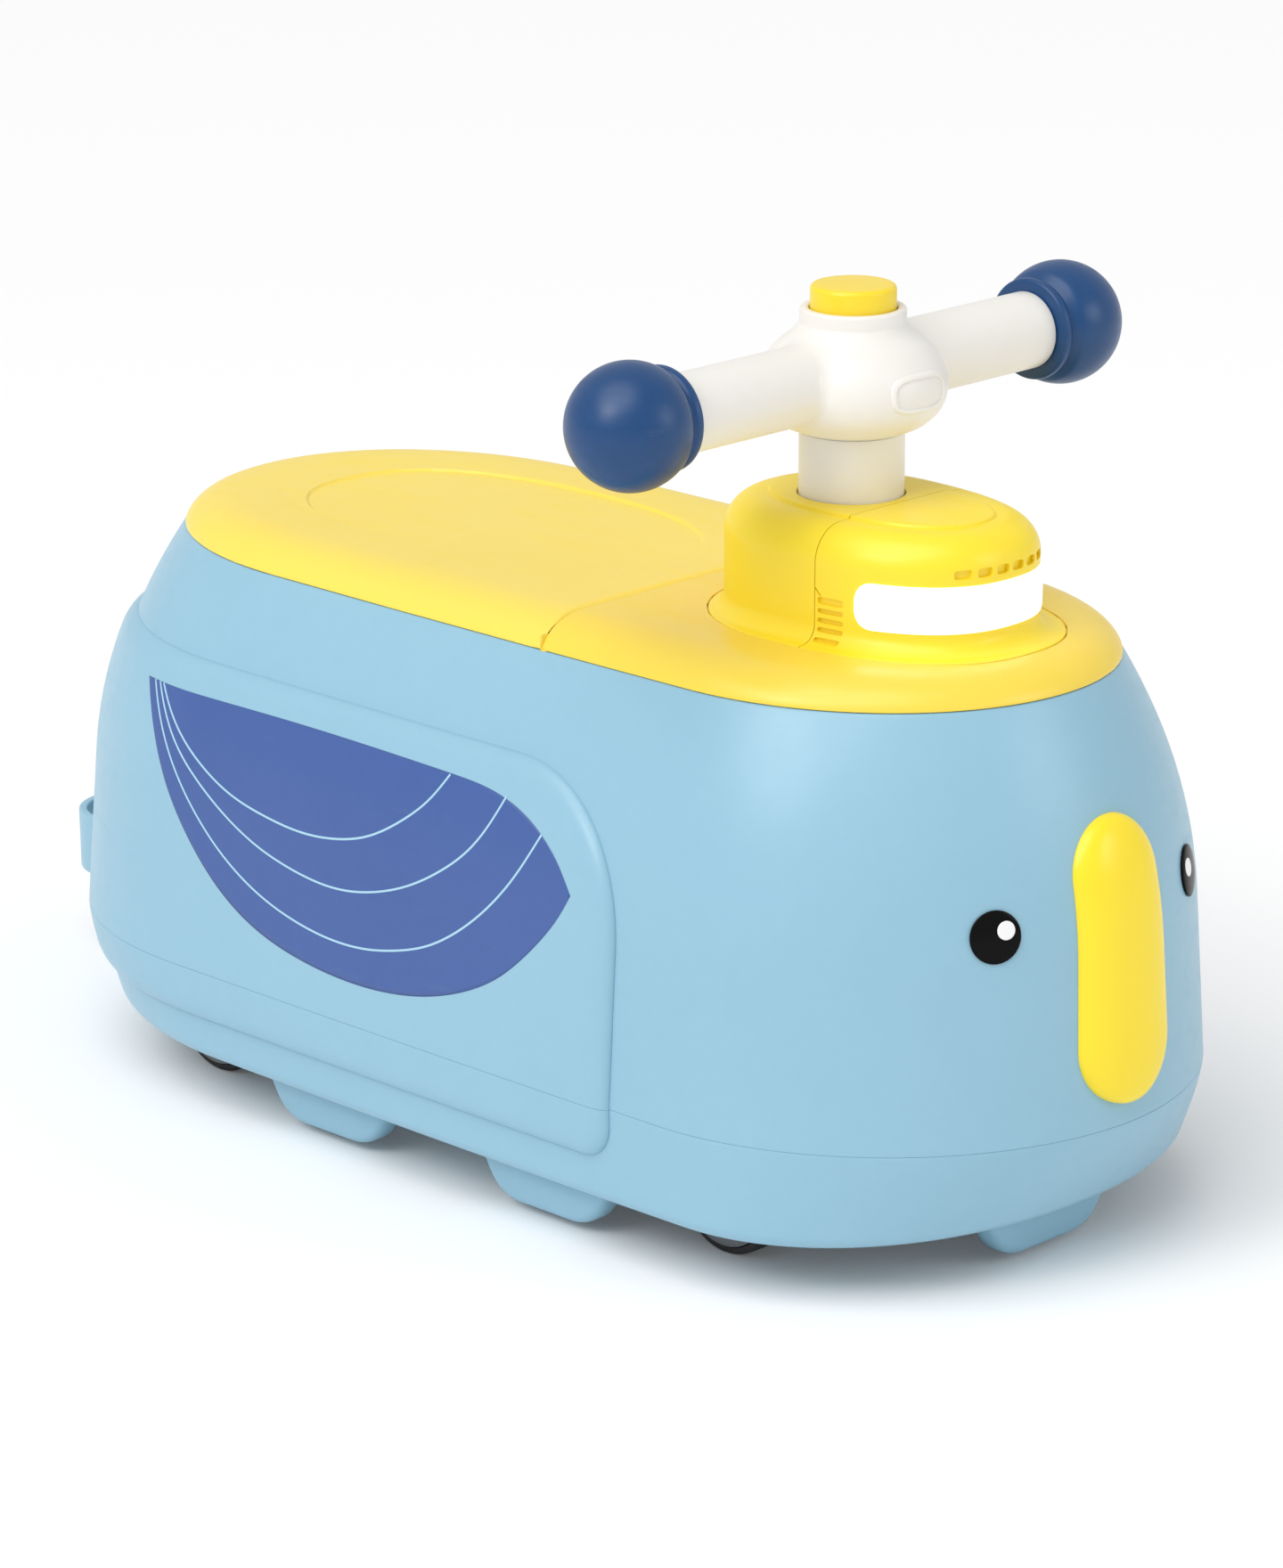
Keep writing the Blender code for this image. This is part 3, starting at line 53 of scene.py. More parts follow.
# Plan outlines of the body: half width, fall of the width, then end, shoulder and exponent at each end
Plan = namedtuple("Plan", "width fall front front_shoulder front_power rear rear_shoulder rear_power")
RIM = Plan(104.3, 0.52, -118.9, -5.3, 2.04, 371.1, 244.5, 2.08)
SEAM = Plan(138.5, 0.20, -156.7, -23.0, 1.96, 408.7, 269.3, 2.18)
BASE = Plan(137.3, 0.45, -132.6, -31.4, 2.14, 402.5, 252.2, 2.06)
BASE_Z, SEAM_Z, RIM_Z = 25.0, 68.2, 242.9
GAP = 0.3
PANEL_FRONT, PANEL_LOW, PANEL_HIGH = 4.5, 45.0, 203.5
PANEL_HIGH_RADIUS, PANEL_LOW_RADIUS = 66.0, 15.0
PANEL_PROUD, PANEL_EDGE = 4.15, 9.0
CAP_FOOT, CAP_RISE, CAP_REACH = RIM_Z + GAP, 12.92, 30.0
SPLIT_Y = 77.0
HINGE_R = 5.0
HINGE_Y = SPLIT_Y + 2 * GAP + HINGE_R
HINGE_Z = 251.0
RECESS_MIDDLE, RECESS_WIDTH, RECESS_LENGTH, RECESS_DEPTH, RECESS_POWER = 207.5, 60.0, 102.5, 1.5, 2.4
BAND_MIDDLE, BAND_WIDTH, BAND_LENGTH, BAND_DEPTH = 214.0, 62.0, 122.0, 0.55
HOUSING_MIDDLE = -6.7
FLANGE, HOUSING, PLATEAU = (60.9, 64.8, 92.8), (51.5, 60.7, 81.4), (31.0, 43.7, 64.3)
POWER_BEHIND, POWER_BEFORE = 2.1, 2.4
HOUSING_TOP, HOUSING_ROUND = 304.5, 15.0
HOUSING_SPLIT, HOUSING_WALL = -26.8, 2.2
LENS_Z, LENS_TALL, LENS_END = 275.2, 9.9, 9.0
VENT_Z, BADGE_RISE, BUTTON_TOP = 289.9, -2.5, 393.7
BAR_Z, BAR_R, BAR_END = 356.1, 16.5, 109.5
BALL_X, BALL_R = 130.6, 26.5
WHEEL_R, WHEEL_MIDDLE = 27.0, 85.0
BEAK_LOW, BEAK_HIGH, BEAK_PROUD = 77.5, 197.0, 7.85
EYE_X, EYE_Z, EYE_R = 60.2, 157.5, 11.0
LOOP_R, LOOP_START, LOOP_BEND, LOOP_Z, LOOP_TALL = 26.0, 388.0, 459.0, 53.1, 14.5
FOOT_TOP, FOOT_LOW, FOOT_HALF = 24.8, 3.8, 39.0
SIDES = (("left", -1), ("right", 1))

steps = np.linspace
joined = np.concatenate


def quads(rows, columns, wrap):
    """Corner numbers of the faces of a grid; wrap joins its last column to its first."""
    row = np.arange(rows - 1)[:, None] * columns
    column = np.arange(columns if wrap else columns - 1)[None, :]
    after = (column + 1) % columns
    below = row + columns
    return np.stack([row + column, row + after, below + after, below + column], -1).reshape(-1, 4)


def merged(name, patches, dist):
    """One mesh from grids of points, closed round their rows except as (grid, False). Their faces turn away
    from the middle of the body."""
    corners, faces, start = [], [], 0
    for patch in patches:
        grid, wrap = patch if isinstance(patch, tuple) else (patch, True)
        flat = grid.reshape(-1, 3)
        face = quads(*grid.shape[:2], wrap)
        corner = flat[face]
        normal = np.cross(corner[:, 2] - corner[:, 0], corner[:, 3] - corner[:, 1])
        if ((corner.mean(1) - MIDDLE) * normal).sum() < 0:
            face = face[:, ::-1]
        corners.append(flat)
        faces.append(face + start)
        start += len(flat)
    mesh = bpy.data.meshes.new(name)
    mesh.from_pydata((joined(corners) - (0, MIDDLE_Y, 0)) * MM, [], joined(faces))
    bm = bmesh.new()
    bm.from_mesh(mesh)
    bmesh.ops.remove_doubles(bm, verts=bm.verts, dist=dist)
    bmesh.ops.dissolve_degenerate(bm, edges=bm.edges, dist=1e-7)
    bm.to_mesh(mesh)
    bm.free()
    return mesh


def placed(name, mesh):
    """A new object with this mesh, lamp or camera, in the scene."""
    obj = bpy.data.objects.new(name, mesh)
    bpy.context.scene.collection.objects.link(obj)
    return obj


def piece(name, patches, material, body="chassis", wall=0.0, crease=38, even=True, node=None):
    """A finished piece from grids of points, riding on its body in place of its CAD node, its wall thickened
    inwards."""
    mesh = merged(name, patches, 2e-6)
    mesh.shade_smooth()
    mesh.set_sharp_from_angle(angle=math.radians(crease))
    obj = placed(name, mesh)
    mesh.materials.append(material)
    if wall:
        thick = obj.modifiers.new("wall", "SOLIDIFY")
        thick.thickness = wall * MM
        thick.offset = -1.0
        thick.use_even_offset = even
        thick.use_quality_normals = True
        thick.thickness_clamp = 1.0
    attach(obj, body)
    if node:
        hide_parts(node)
    return obj


def carve(obj, tool, operation="DIFFERENCE"):
    """Cuts obj with tool, or keeps what they share, and makes the result its mesh."""
    modifier = obj.modifiers.new("carve", "BOOLEAN")
    modifier.operation = operation
    modifier.solver = "EXACT"
    modifier.object = tool
    bpy.context.view_layer.update()
    mesh = bpy.data.meshes.new_from_object(obj.evaluated_get(bpy.context.evaluated_depsgraph_get()))
    obj.modifiers.clear()
    old, obj.data = obj.data, mesh
    bpy.data.meshes.remove(old)
    bpy.data.objects.remove(tool, do_unlink=True)


def cutter(rows):
    """A closed body that only cuts, from rows of points."""
    return placed("cutter", merged("cutter", [capped(np.stack(rows))], 1e-6))


def points(x, y, z):
    """Points whose coordinates broadcast together."""
    return np.stack(np.broadcast_arrays(x, y, z), -1)


def capped(grid):
    """The grid with its first and last rows drawn together to a point."""
    first = np.broadcast_to(grid[0].mean(0), grid[:1].shape)
    last = np.broadcast_to(grid[-1].mean(0), grid[:1].shape)
    return joined([first, grid, last])


def smooth_line(line, count):
    """Points along a curve through the given ones: Catmull-Rom, p = the usual cubic of four neighbours."""
    p = np.array(line, float)
    p = joined([2 * p[:1] - p[1:2], p, 2 * p[-1:] - p[-2:-1]])
    at = steps(0, len(p) - 3 - 1e-9, count)
    k = at.astype(int)
    t = (at - k)[:, None]
    a, b, c, d = p[k], p[k + 1], p[k + 2], p[k + 3]
    return 0.5 * (2 * b + (c - a) * t + (2 * a - 5 * b + 4 * c - d) * t**2 + (3 * b - a - 3 * c + d) * t**3)


def spun(profile, start=(0, 0, 0), axis=(0, 0, 1), count=96):
    """A profile of (radius, distance) turned round a line: p = start + axis d + r (u cos t + v sin t)."""
    profile = np.array(profile, float)
    axis = np.array(Vector(axis).normalized())
    u = np.array(Vector(axis).orthogonal().normalized())
    v = np.cross(axis, u)
    turn = steps(0, math.tau, count + 1)[:-1]
    ring = np.cos(turn)[:, None] * u + np.sin(turn)[:, None] * v
    return np.array(start, float) + profile[:, None, 1:] * axis + profile[:, None, :1] * ring


def unit_oval(turn, power):
    """Superellipse with half widths of 1: x = |cos|^(2/p), y = |sin|^(2/p), their signs kept."""
    return tuple(np.sign(wave) * np.abs(wave) ** (2 / power) for wave in (np.cos(turn), np.sin(turn)))


def rounded(corners, radii, bits):
    """A closed line of corners, each rounded: p = start (1-t)^2 + 2 corner t (1-t) + end t^2, start and end
    a radius away."""
    p = np.array(corners, float)
    t = steps(0, 1, bits)[:, None]
    out = []
    for i, radius in enumerate(radii):
        before, here, after = p[i - 1], p[i], p[(i + 1) % len(p)]
        start = here + (before - here) / np.linalg.norm(before - here) * radius
        end = here + (after - here) / np.linalg.norm(after - here) * radius
        out.append(start * (1 - t) ** 2 + 2 * here * t * (1 - t) + end * t**2)
    return joined(out)


# Materials

class Wire:
    """A value in a material's node tree. Arithmetic on it adds Math nodes."""

    def __init__(self, tree, socket):
        self.tree = tree
        self.socket = socket

    def node(self, kind, settings, inputs, output=0):
        """Adds a node, its settings before its values and links, and gives back its output, if it has one."""
        made = self.tree.nodes.new(kind)
        for key, value in settings.items():
            setattr(made, key, value)
        for key, value in inputs.items():
            if isinstance(value, Wire):
                self.tree.links.new(value.socket, made.inputs[key])
            else:
                made.inputs[key].default_value = value
        return Wire(self.tree, made.outputs[output] if made.outputs else None)

    def math(self, operation, first, second):
        """Adds a Math node."""
        return self.node("ShaderNodeMath", {"operation": operation}, {0: first, 1: second})

    def __add__(self, other):
        return self.math("ADD", self, other)

    def __radd__(self, other):
        return self.math("ADD", other, self)

    def __sub__(self, other):
        return self.math("SUBTRACT", self, other)

    def __rsub__(self, other):
        return self.math("SUBTRACT", other, self)

    def __mul__(self, other):
        return self.math("MULTIPLY", self, other)

    def __rmul__(self, other):
        return self.math("MULTIPLY", other, self)

    def ramp(self, low, high, to_low=0.0, to_high=1.0):
        """The value spread from low..high over to_low..to_high, and held at the ends."""
        return self.node("ShaderNodeMapRange", {"clamp": True},
                         {"Value": self, "From Min": low, "From Max": high,
                          "To Min": to_low, "To Max": to_high})

    def blend(self, first, second):
        """Mixes two colours by this value."""
        return self.node("ShaderNodeMix", {"data_type": "RGBA"}, {0: self, 6: first, 7: second}, 2)

    def noise(self, scale, detail=3.0, stretch=(1, 1, 1), roughness=0.55):
        """Cloudy noise over this position, scale in cycles per metre."""
        spread = self.node("ShaderNodeVectorMath", {"operation": "MULTIPLY"}, {0: self, 1: stretch})
        return self.node("ShaderNodeTexNoise", {},
                         {"Vector": spread, "Scale": scale, "Detail": detail, "Roughness": roughness})


def new_material(name):
    """The material and the position in the object."""
    material = bpy.data.materials.new(name)
    material.use_nodes = True
    return material, Wire(material.node_tree, None).node("ShaderNodeTexCoord", {}, {}, "Object")


def dressed(material, colour, gloss, height, strength, depth):
    """Feeds the shader its colour and roughness, and a bump of this height. Gives its sockets back."""
    inputs = material.node_tree.nodes["Principled BSDF"].inputs
    bump = height.node("ShaderNodeBump", {}, {"Strength": strength, "Distance": depth, "Height": height})
    for wire, socket in ((colour, "Base Color"), (gloss, "Roughness"), (bump, "Normal")):
        material.node_tree.links.new(wire.socket, inputs[socket])
    return inputs


def moulded(name, main, second, roughness=0.34, grain=1500.0, depth=0.00004, soil=0.05):
    """Moulded plastic: cloudy colour, faint scuffs in the gloss, fine grain in the surface."""
    material, place = new_material(name)
    cloud = place.noise(9.0, 4.0)
    mottle = place.noise(140.0, 3.0)
    scuff = place.noise(60.0, 5.0, (1.0, 0.25, 2.6), 0.7)
    tone = (cloud * 0.7 + mottle * 0.3).ramp(0.32, 0.68)
    marks = scuff.ramp(0.62, 0.8, 0.0, soil)
    colour = marks.blend(tone.blend((*main, 1), (*second, 1)), (0.5, 0.47, 0.42, 1))
    gloss = mottle * 0.08 + (cloud * 0.06 + (roughness - 0.07)) + scuff.ramp(0.5, 0.75, 0.0, 0.12)
    dressed(material, colour, gloss, place.noise(grain, 2.0) * 0.75 + mottle * 0.6, 0.5, depth)
    return material


def rubber(name):
    """Tyre rubber: nearly black, dusty where it is rough, with fine pits."""
    material, place = new_material(name)
    dust = place.noise(45.0, 5.0)
    pits = place.noise(2200.0, 3.0)
    colour = dust.ramp(0.4, 0.75).blend((0.012, 0.012, 0.013, 1), (0.045, 0.042, 0.038, 1))
    dressed(material, colour, dust * 0.25 + 0.55, pits + dust * 0.4, 0.7, 0.00008)
    return material


def plated(name):
    """Zinc-plated steel: lines drawn along x, cloudy tarnish."""
    material, place = new_material(name)
    lines = place.noise(90.0, 4.0, (1.0, 30.0, 30.0), 0.6)
    cloud = place.noise(70.0, 3.0)
    colour = cloud.ramp(0.35, 0.7).blend((0.62, 0.63, 0.66, 1), (0.42, 0.42, 0.43, 1))
    inputs = dressed(material, colour, lines * 0.25 + 0.18, lines, 0.35, 0.00003)
    inputs["Metallic"].default_value = 1.0
    return material


def circuit(name):
    """Green board: fibre weave under lacquer, with paler copper areas."""
    material, place = new_material(name)
    weave = place.noise(900.0, 1.0, (1.0, 1.0, 4.0))
    copper = place.noise(160.0, 2.0)
    colour = copper.ramp(0.5, 0.56).blend((0.012, 0.12, 0.045, 1), (0.03, 0.24, 0.09, 1))
    dressed(material, colour, weave * 0.3 + 0.25, weave + copper, 0.4, 0.00003)
    return material


def lamp_plastic(name):
    """Diffusing lens, lit from behind: white, in faintly warmer and cooler clouds, with fine frosting."""
    material, place = new_material(name)
    cloud = place.noise(30.0, 3.0)
    frost = place.noise(2500.0, 2.0)
    colour = cloud.ramp(0.35, 0.7).blend((1.0, 0.99, 0.96, 1), (0.97, 0.98, 1.0, 1))
    inputs = dressed(material, colour, frost * 0.15 + 0.15, frost, 0.4, 0.00003)
    material.node_tree.links.new(colour.socket, inputs["Emission Color"])
    inputs["Emission Strength"].default_value = 0.75
    return material


sky_blue = moulded("sky plastic", (0.285, 0.51, 0.645), (0.268, 0.487, 0.62))
# Seat and deck take two copies of one yellow plastic, tuned for how light falls on them: the seat's brighter
# copy is painted light, the deck's darker copy is painted shade.
seat_painted_light_yellow = moulded("seat yellow plastic painted light", (0.95, 0.73, 0.105), (0.93, 0.705, 0.09))
deck_painted_shade_yellow = moulded("deck yellow plastic painted shade", (0.92, 0.68, 0.075), (0.905, 0.66, 0.065))
lamp_yellow = moulded("lamp housing yellow plastic", (0.975, 0.755, 0.03), (0.96, 0.735, 0.024), 0.36)
# The beak's copy of the yellow plastic is made brighter: painted light on the beak.
beak_painted_light_yellow = moulded("beak yellow plastic painted light", (0.985, 0.76, 0.02), (0.97, 0.74, 0.016), 0.3)
button_yellow = moulded("button yellow plastic", (0.96, 0.715, 0.025), (0.94, 0.69, 0.02), 0.3)
ivory = moulded("ivory plastic", (0.86, 0.84, 0.79), (0.84, 0.815, 0.765), 0.33)
navy = moulded("navy plastic", (0.001, 0.055, 0.185), (0.001, 0.046, 0.16), 0.34, 2400.0, 0.00007)
grey_hub = moulded("grey hub plastic", (0.20, 0.205, 0.215), (0.17, 0.175, 0.185), 0.42)
black_shell = moulded("black box plastic", (0.02, 0.02, 0.022), (0.03, 0.03, 0.032), 0.5)
eye_black = moulded("glossy eye black", (0.003, 0.003, 0.003), (0.005, 0.005, 0.006), 0.16, 900.0, 1e-5, 0)
eye_black.node_tree.nodes["Principled BSDF"].inputs["Specular IOR Level"].default_value = 0.08
eye_white = moulded("eye dot white", (0.9, 0.9, 0.9), (0.86, 0.86, 0.87), 0.3)
wing_blue = moulded("wing print blue", (0.045, 0.105, 0.335), (0.04, 0.096, 0.315), 0.36)
wing_line = moulded("wing line pale blue", (0.40, 0.65, 0.80), (0.38, 0.62, 0.77), 0.36)
bin_blue = moulded("bin inside plastic", (0.33, 0.60, 0.74), (0.29, 0.56, 0.70), 0.45, 1100.0, 0.00008)
tyre_black = rubber("tyre rubber")
steel = plated("plated steel")
board_green = circuit("circuit board green")
lens_white = lamp_plastic("lit lens plastic")
cell_wrap = moulded("cell wrap", (0.10, 0.11, 0.13), (0.13, 0.14, 0.16), 0.3)
speaker_black = moulded("speaker cone black", (0.02, 0.02, 0.02), (0.04, 0.04, 0.04), 0.6, 3000.0, 0.0001)


# Body

def plan_point(plan, u, grow):
    """Superellipse ends joined by straight sides: u 0-1 round the front, 1-2 along the side, 2-3 behind.
    x = (w + g) sin(a)^(2/n) (1 - fall ((y - middle)/1000)^2), y = shoulder -+ (length + g) cos(a)^(2/n)."""
    a = np.clip(u, 0, 1) * np.pi / 2
    b = np.clip(u - 2, 0, 1) * np.pi / 2
    t = np.clip(u - 1, 0, 1)
    x = np.where(u < 1, np.sin(a) ** (2 / plan.front_power), np.abs(np.cos(b)) ** (2 / plan.rear_power))
    length = plan.rear_shoulder - plan.front_shoulder
    y = plan.front_shoulder + length * t
    y = y - (plan.front_shoulder - plan.front + grow) * np.abs(np.cos(a)) ** (2 / plan.front_power) * (u < 1)
    y = y + (plan.rear - plan.rear_shoulder + grow) * np.sin(b) ** (2 / plan.rear_power)
    middle = (plan.front_shoulder + plan.rear_shoulder) / 2
    return (plan.width + grow) * x * (1 - plan.fall * ((y - middle) * MM) ** 2), y


def body_point(u, z, grow=0.0):
    """Point of the body's side at u along its outline and height z: the plans blended by height, with
    share = 0.29 d + 0.71 (1 - (1 - d/0.59)^2.05) above the seam and ((seam - z)/(seam - foot))^1.3 below."""
    u, z, grow = np.broadcast_arrays(np.asarray(u, float), np.asarray(z, float), np.asarray(grow, float))
    down = (RIM_Z - z) / (RIM_Z - SEAM_Z)
    upper = 0.29 * down + 0.71 * (1 - (1 - np.clip(down / 0.59, 0, 1)) ** 2.05)
    lower = np.clip((SEAM_Z - z) / (SEAM_Z - BASE_Z), 0, 1) ** 1.3
    above = z >= SEAM_Z
    share = np.where(above, np.clip(upper, 0, 1), lower)
    plans = (plan_point(plan, u, grow) for plan in (RIM, SEAM, BASE))
    return tuple(np.where(above, rim + (seam - rim) * share, seam + (base - seam) * share)
                 for rim, seam, base in zip(*plans))


def halved(shape, high, short, count=40):
    """Narrows low and high on whole arrays round the value at which short() turns false."""
    low, high = np.zeros(shape), np.full(shape, float(high))
    for _ in range(count):
        middle = (low + high) / 2
        below = short(middle)
        low, high = np.where(below, middle, low), np.where(below, high, middle)
    return low, high


def u_at(y, z, grow):
    """Place along the outline that lies at y."""
    low, high = halved(np.shape(y), 3, lambda u: body_point(u, z, grow)[1] < y)
    return (low + high) / 2


# Both sides of the outline, once round: places u and signs of x
half_u = joined([steps(0, 1, 41)[:-1], steps(1, 2, 25)[:-1], steps(2, 3, 41)])
ring_u = joined([half_u, half_u[-2:0:-1]])
ring_side = np.where(np.arange(len(ring_u)) < len(half_u), 1, -1)


def body_rows(rows, u, across):
    """Grid from rows of (grow, z)."""
    grow = np.array([row[0] for row in rows])[:, None]
    z = np.array([row[1] for row in rows])[:, None]
    x, y = body_point(u[None, :], z, grow)
    return points(x * across[None, :], y, z)


ROLL = ((0.26, 0.0), (0.1, 0.06), (0.03, 0.16), (0.0, 0.32))
SEAM_GAP = 0.02


def rolled(edge_z, direction):
    """Rows of (grow, z) that round the edge of a shell."""
    return [(-inset, edge_z + direction * rise) for inset, rise in ROLL]


def body_skins():
    """Skins of both shells, from rows of (grow, z) up the side. The lower one turns in at its foot by
    6 (1 - cos a), and its rows drop by 6 (1 - sin a) with it."""
    seam_high, seam_low = SEAM_Z + SEAM_GAP / 2, SEAM_Z - SEAM_GAP / 2
    upper = rolled(seam_high, 1) + [(0, z) for z in steps(71, 241, 46)]
    upper += [(-a, RIM_Z - b) for a, b in ((0, 0.9), (0.1, 0.45), (0.35, 0.12), (0.8, 0), (3.2, 0))]
    piece("upper_body_shell", [body_rows(upper, ring_u, ring_side)], sky_blue, wall=1.6, node="upper_shell")
    turn = steps(0, np.pi / 2, 9)[::-1]
    lower = [(-9.0, BASE_Z - 0.1)]
    lower += [(-6 * (1 - math.cos(a)), BASE_Z + 6 * (1 - math.sin(a)) - 0.1 * math.sin(a)) for a in turn]
    lower += [(0, z) for z in steps(33, 66, 14)] + rolled(seam_low, -1)[::-1]
    piece("lower_body_base", [body_rows(lower, ring_u, ring_side)], sky_blue, wall=1.6, node="lower_base")


def panel_front(z):
    """Front edge of the raised side panel at height z: straight, with round corners above and below."""
    top = PANEL_HIGH - PANEL_HIGH_RADIUS
    low = PANEL_LOW + PANEL_LOW_RADIUS
    rise = np.clip(z - top, 0, PANEL_HIGH_RADIUS)
    drop = np.clip(low - z, 0, PANEL_LOW_RADIUS)
    front = PANEL_HIGH_RADIUS - np.sqrt(PANEL_HIGH_RADIUS**2 - rise**2)
    return PANEL_FRONT + front + PANEL_LOW_RADIUS - np.sqrt(PANEL_LOW_RADIUS**2 - drop**2)


def panel_depth(y, z):
    """How far a point of the side view lies inside the panel's outline."""
    top = (PANEL_FRONT + PANEL_HIGH_RADIUS, PANEL_HIGH - PANEL_HIGH_RADIUS)
    low = (PANEL_FRONT + PANEL_LOW_RADIUS, PANEL_LOW + PANEL_LOW_RADIUS)
    plain = np.minimum(np.minimum(y - PANEL_FRONT, PANEL_HIGH - z), z - PANEL_LOW)
    upper = PANEL_HIGH_RADIUS - np.hypot(y - top[0], z - top[1])
    lower = PANEL_LOW_RADIUS - np.hypot(y - low[0], z - low[1])
    depth = np.where((y < top[0]) & (z > top[1]), upper, plain)
    return np.where((y < low[0]) & (z < low[1]), lower, depth)


def panel_skin(name, z, inset):
    """Raised panel round both sides and the back: it stands -0.3 + 4.45 sqrt(1 - (1 - d/edge)^2.2) proud,
    d its depth inside the outline."""
    z, inset = z[:, None], inset[:, None]
    near = np.array([0, 0.12, 0.4, 0.85, 1.5, 2.3, 3.3, 4.4, 5.6, 7.0, 9.5])
    shoulder_front = body_point(1.0, z, 0.0)[1]
    shoulder_rear = body_point(2.0, z, 0.0)[1]
    start = panel_front(z)
    along = joined([np.broadcast_to(start + near, (len(z), len(near))),
                    start + near[-1] + (shoulder_rear - start - near[-1]) * steps(0, 1, 34)[1:]], 1)
    u = 1 + (along - shoulder_front) / (shoulder_rear - shoulder_front)
    u = joined([u, np.broadcast_to(2 + steps(0, 1, 37)[1:], (len(z), 36))], 1)
    y = body_point(u, z, 0.0)[1]
    depth = np.clip(panel_depth(y, z) / PANEL_EDGE, 0, 1)
    grow = -0.3 + (PANEL_PROUD + 0.3) * np.sqrt(1 - (1 - depth) ** 2.2) - inset
    x, y = body_point(u, z, grow)
    half = points(x, y, z)
    other = half[:, -2::-1] * (-1, 1, 1)
    piece(name, [(joined([half, other], 1), False)], sky_blue, wall=1.2)


def panels():
    """The panel, parted at the seam, where both edges draw in by the rows of ROLL."""
    roll = np.array(ROLL)
    edge = np.array([0, 0.12, 0.4, 0.85, 1.5, 2.4, 3.4, 4.6, 6.0, 8.0])
    z = joined([SEAM_Z + SEAM_GAP / 2 + roll[:, 1], steps(72, 150, 22), steps(152, 194, 18),
                PANEL_HIGH - edge[::-1]])
    inset = joined([roll[:, 0], np.zeros(len(z) - len(roll))])
    panel_skin("side_panel_upper", z, inset)
    z = joined([PANEL_LOW + edge, steps(54.5, 66, 7), (SEAM_Z - SEAM_GAP / 2 - roll[:, 1])[::-1]])
    inset = joined([np.zeros(len(z) - len(roll)), roll[::-1, 0]])
    panel_skin("side_panel_lower", z, inset)


def inner_part(node, name, rows):
    """The insides of a body half: the CAD node's mesh, merged, kept to the body drawn in a little."""
    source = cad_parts[node]
    mesh = source.data.copy()
    bm = bmesh.new()
    bm.from_mesh(mesh)
    bmesh.ops.remove_doubles(bm, verts=bm.verts, dist=1e-6)
    bm.to_mesh(mesh)
    bm.free()
    obj = placed(name, mesh)
    room = cutter(body_rows(rows, ring_u[::2], ring_side[::2]))
    carve(obj, room, "INTERSECT")
    obj.data.materials.clear()
    obj.data.materials.append(sky_blue)
    obj.data.shade_flat()
    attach(obj, "chassis")


def body():
    """Skins, panel and insides. The rows of (grow, z) bound what of the insides is kept."""
    body_skins()
    panels()
    high = [(-1.0, 60.0)] + [(-1.0, z) for z in steps(69, 242.5, 24)] + [(-1.0, 244.0)]
    inner_part("upper_shell", "upper_body_inside", high)
    low = [(-7.0, 15.0), (-7.0, BASE_Z), (-2.7, 26.8), (-1.7, 28.5), (-1.0, 31.0)]
    low += [(-1.0, z) for z in steps(36, 68, 8)] + [(-1.0, 75.0), (-20.0, 76.0), (-20.0, 104.0)]
    inner_part("lower_base", "lower_body_inside", low)


# Deck and seat

def rim_half_width(y, grow):
    """Half width of the rim outline at y; below zero outside it."""
    front = (RIM.front_shoulder - y) / (RIM.front_shoulder - RIM.front + grow)
    rear = (y - RIM.rear_shoulder) / (RIM.rear - RIM.rear_shoulder + grow)
    shape = (1 - np.clip(front, 0, 1) ** RIM.front_power) ** (1 / RIM.front_power)
    shape = shape * (1 - np.clip(rear, 0, 1) ** RIM.rear_power) ** (1 / RIM.rear_power)
    middle = (RIM.front_shoulder + RIM.rear_shoulder) / 2
    wide = (RIM.width + grow) * shape * (1 - RIM.fall * ((y - middle) * MM) ** 2)
    return np.where((front > 1) | (rear > 1), -1.0, wide)


def cap_height(x, y):
    """Height of the yellow cap, z = foot + rise (1 - (1 - s/30)^2.9)^(2/3), s the way in from the rim."""
    way_in = halved(np.shape(x), 70, lambda inset: np.abs(x) <= rim_half_width(y, -inset), 34)[0]
    share = np.clip(way_in / CAP_REACH, 0, 1)
    return CAP_FOOT + CAP_RISE * (1 - (1 - share) ** 2.9) ** (2 / 3)


def roll_off(distance, radius=0.8):
    """Drop of a rounded edge at this distance from it."""
    return radius - np.sqrt(radius**2 - (radius - np.clip(distance, 0, radius)) ** 2)


def oval(sizes, turn, grow):
    """Superellipse of the lamp housing: x = a |cos|^(2/p), y = b |sin|^(2/p), p 2.1 behind, 2.4 before."""
    half, behind, before = (size + grow for size in sizes)
    x, y = unit_oval(turn, np.where(np.sin(turn) > 0, POWER_BEHIND, POWER_BEFORE))
    return x * half, HOUSING_MIDDLE + y * np.where(y > 0, behind, before)


def oval_ray(sizes, dx, dy, grow):
    """Distance to the housing oval from its middle in the direction dx, dy."""
    half, behind, before = (size + grow for size in sizes)
    power = np.where(dy > 0, POWER_BEHIND, POWER_BEFORE)
    along = np.where(dy > 0, behind, before)
    return ((np.abs(dx) / half) ** power + (np.abs(dy) / along) ** power) ** (-1 / power)


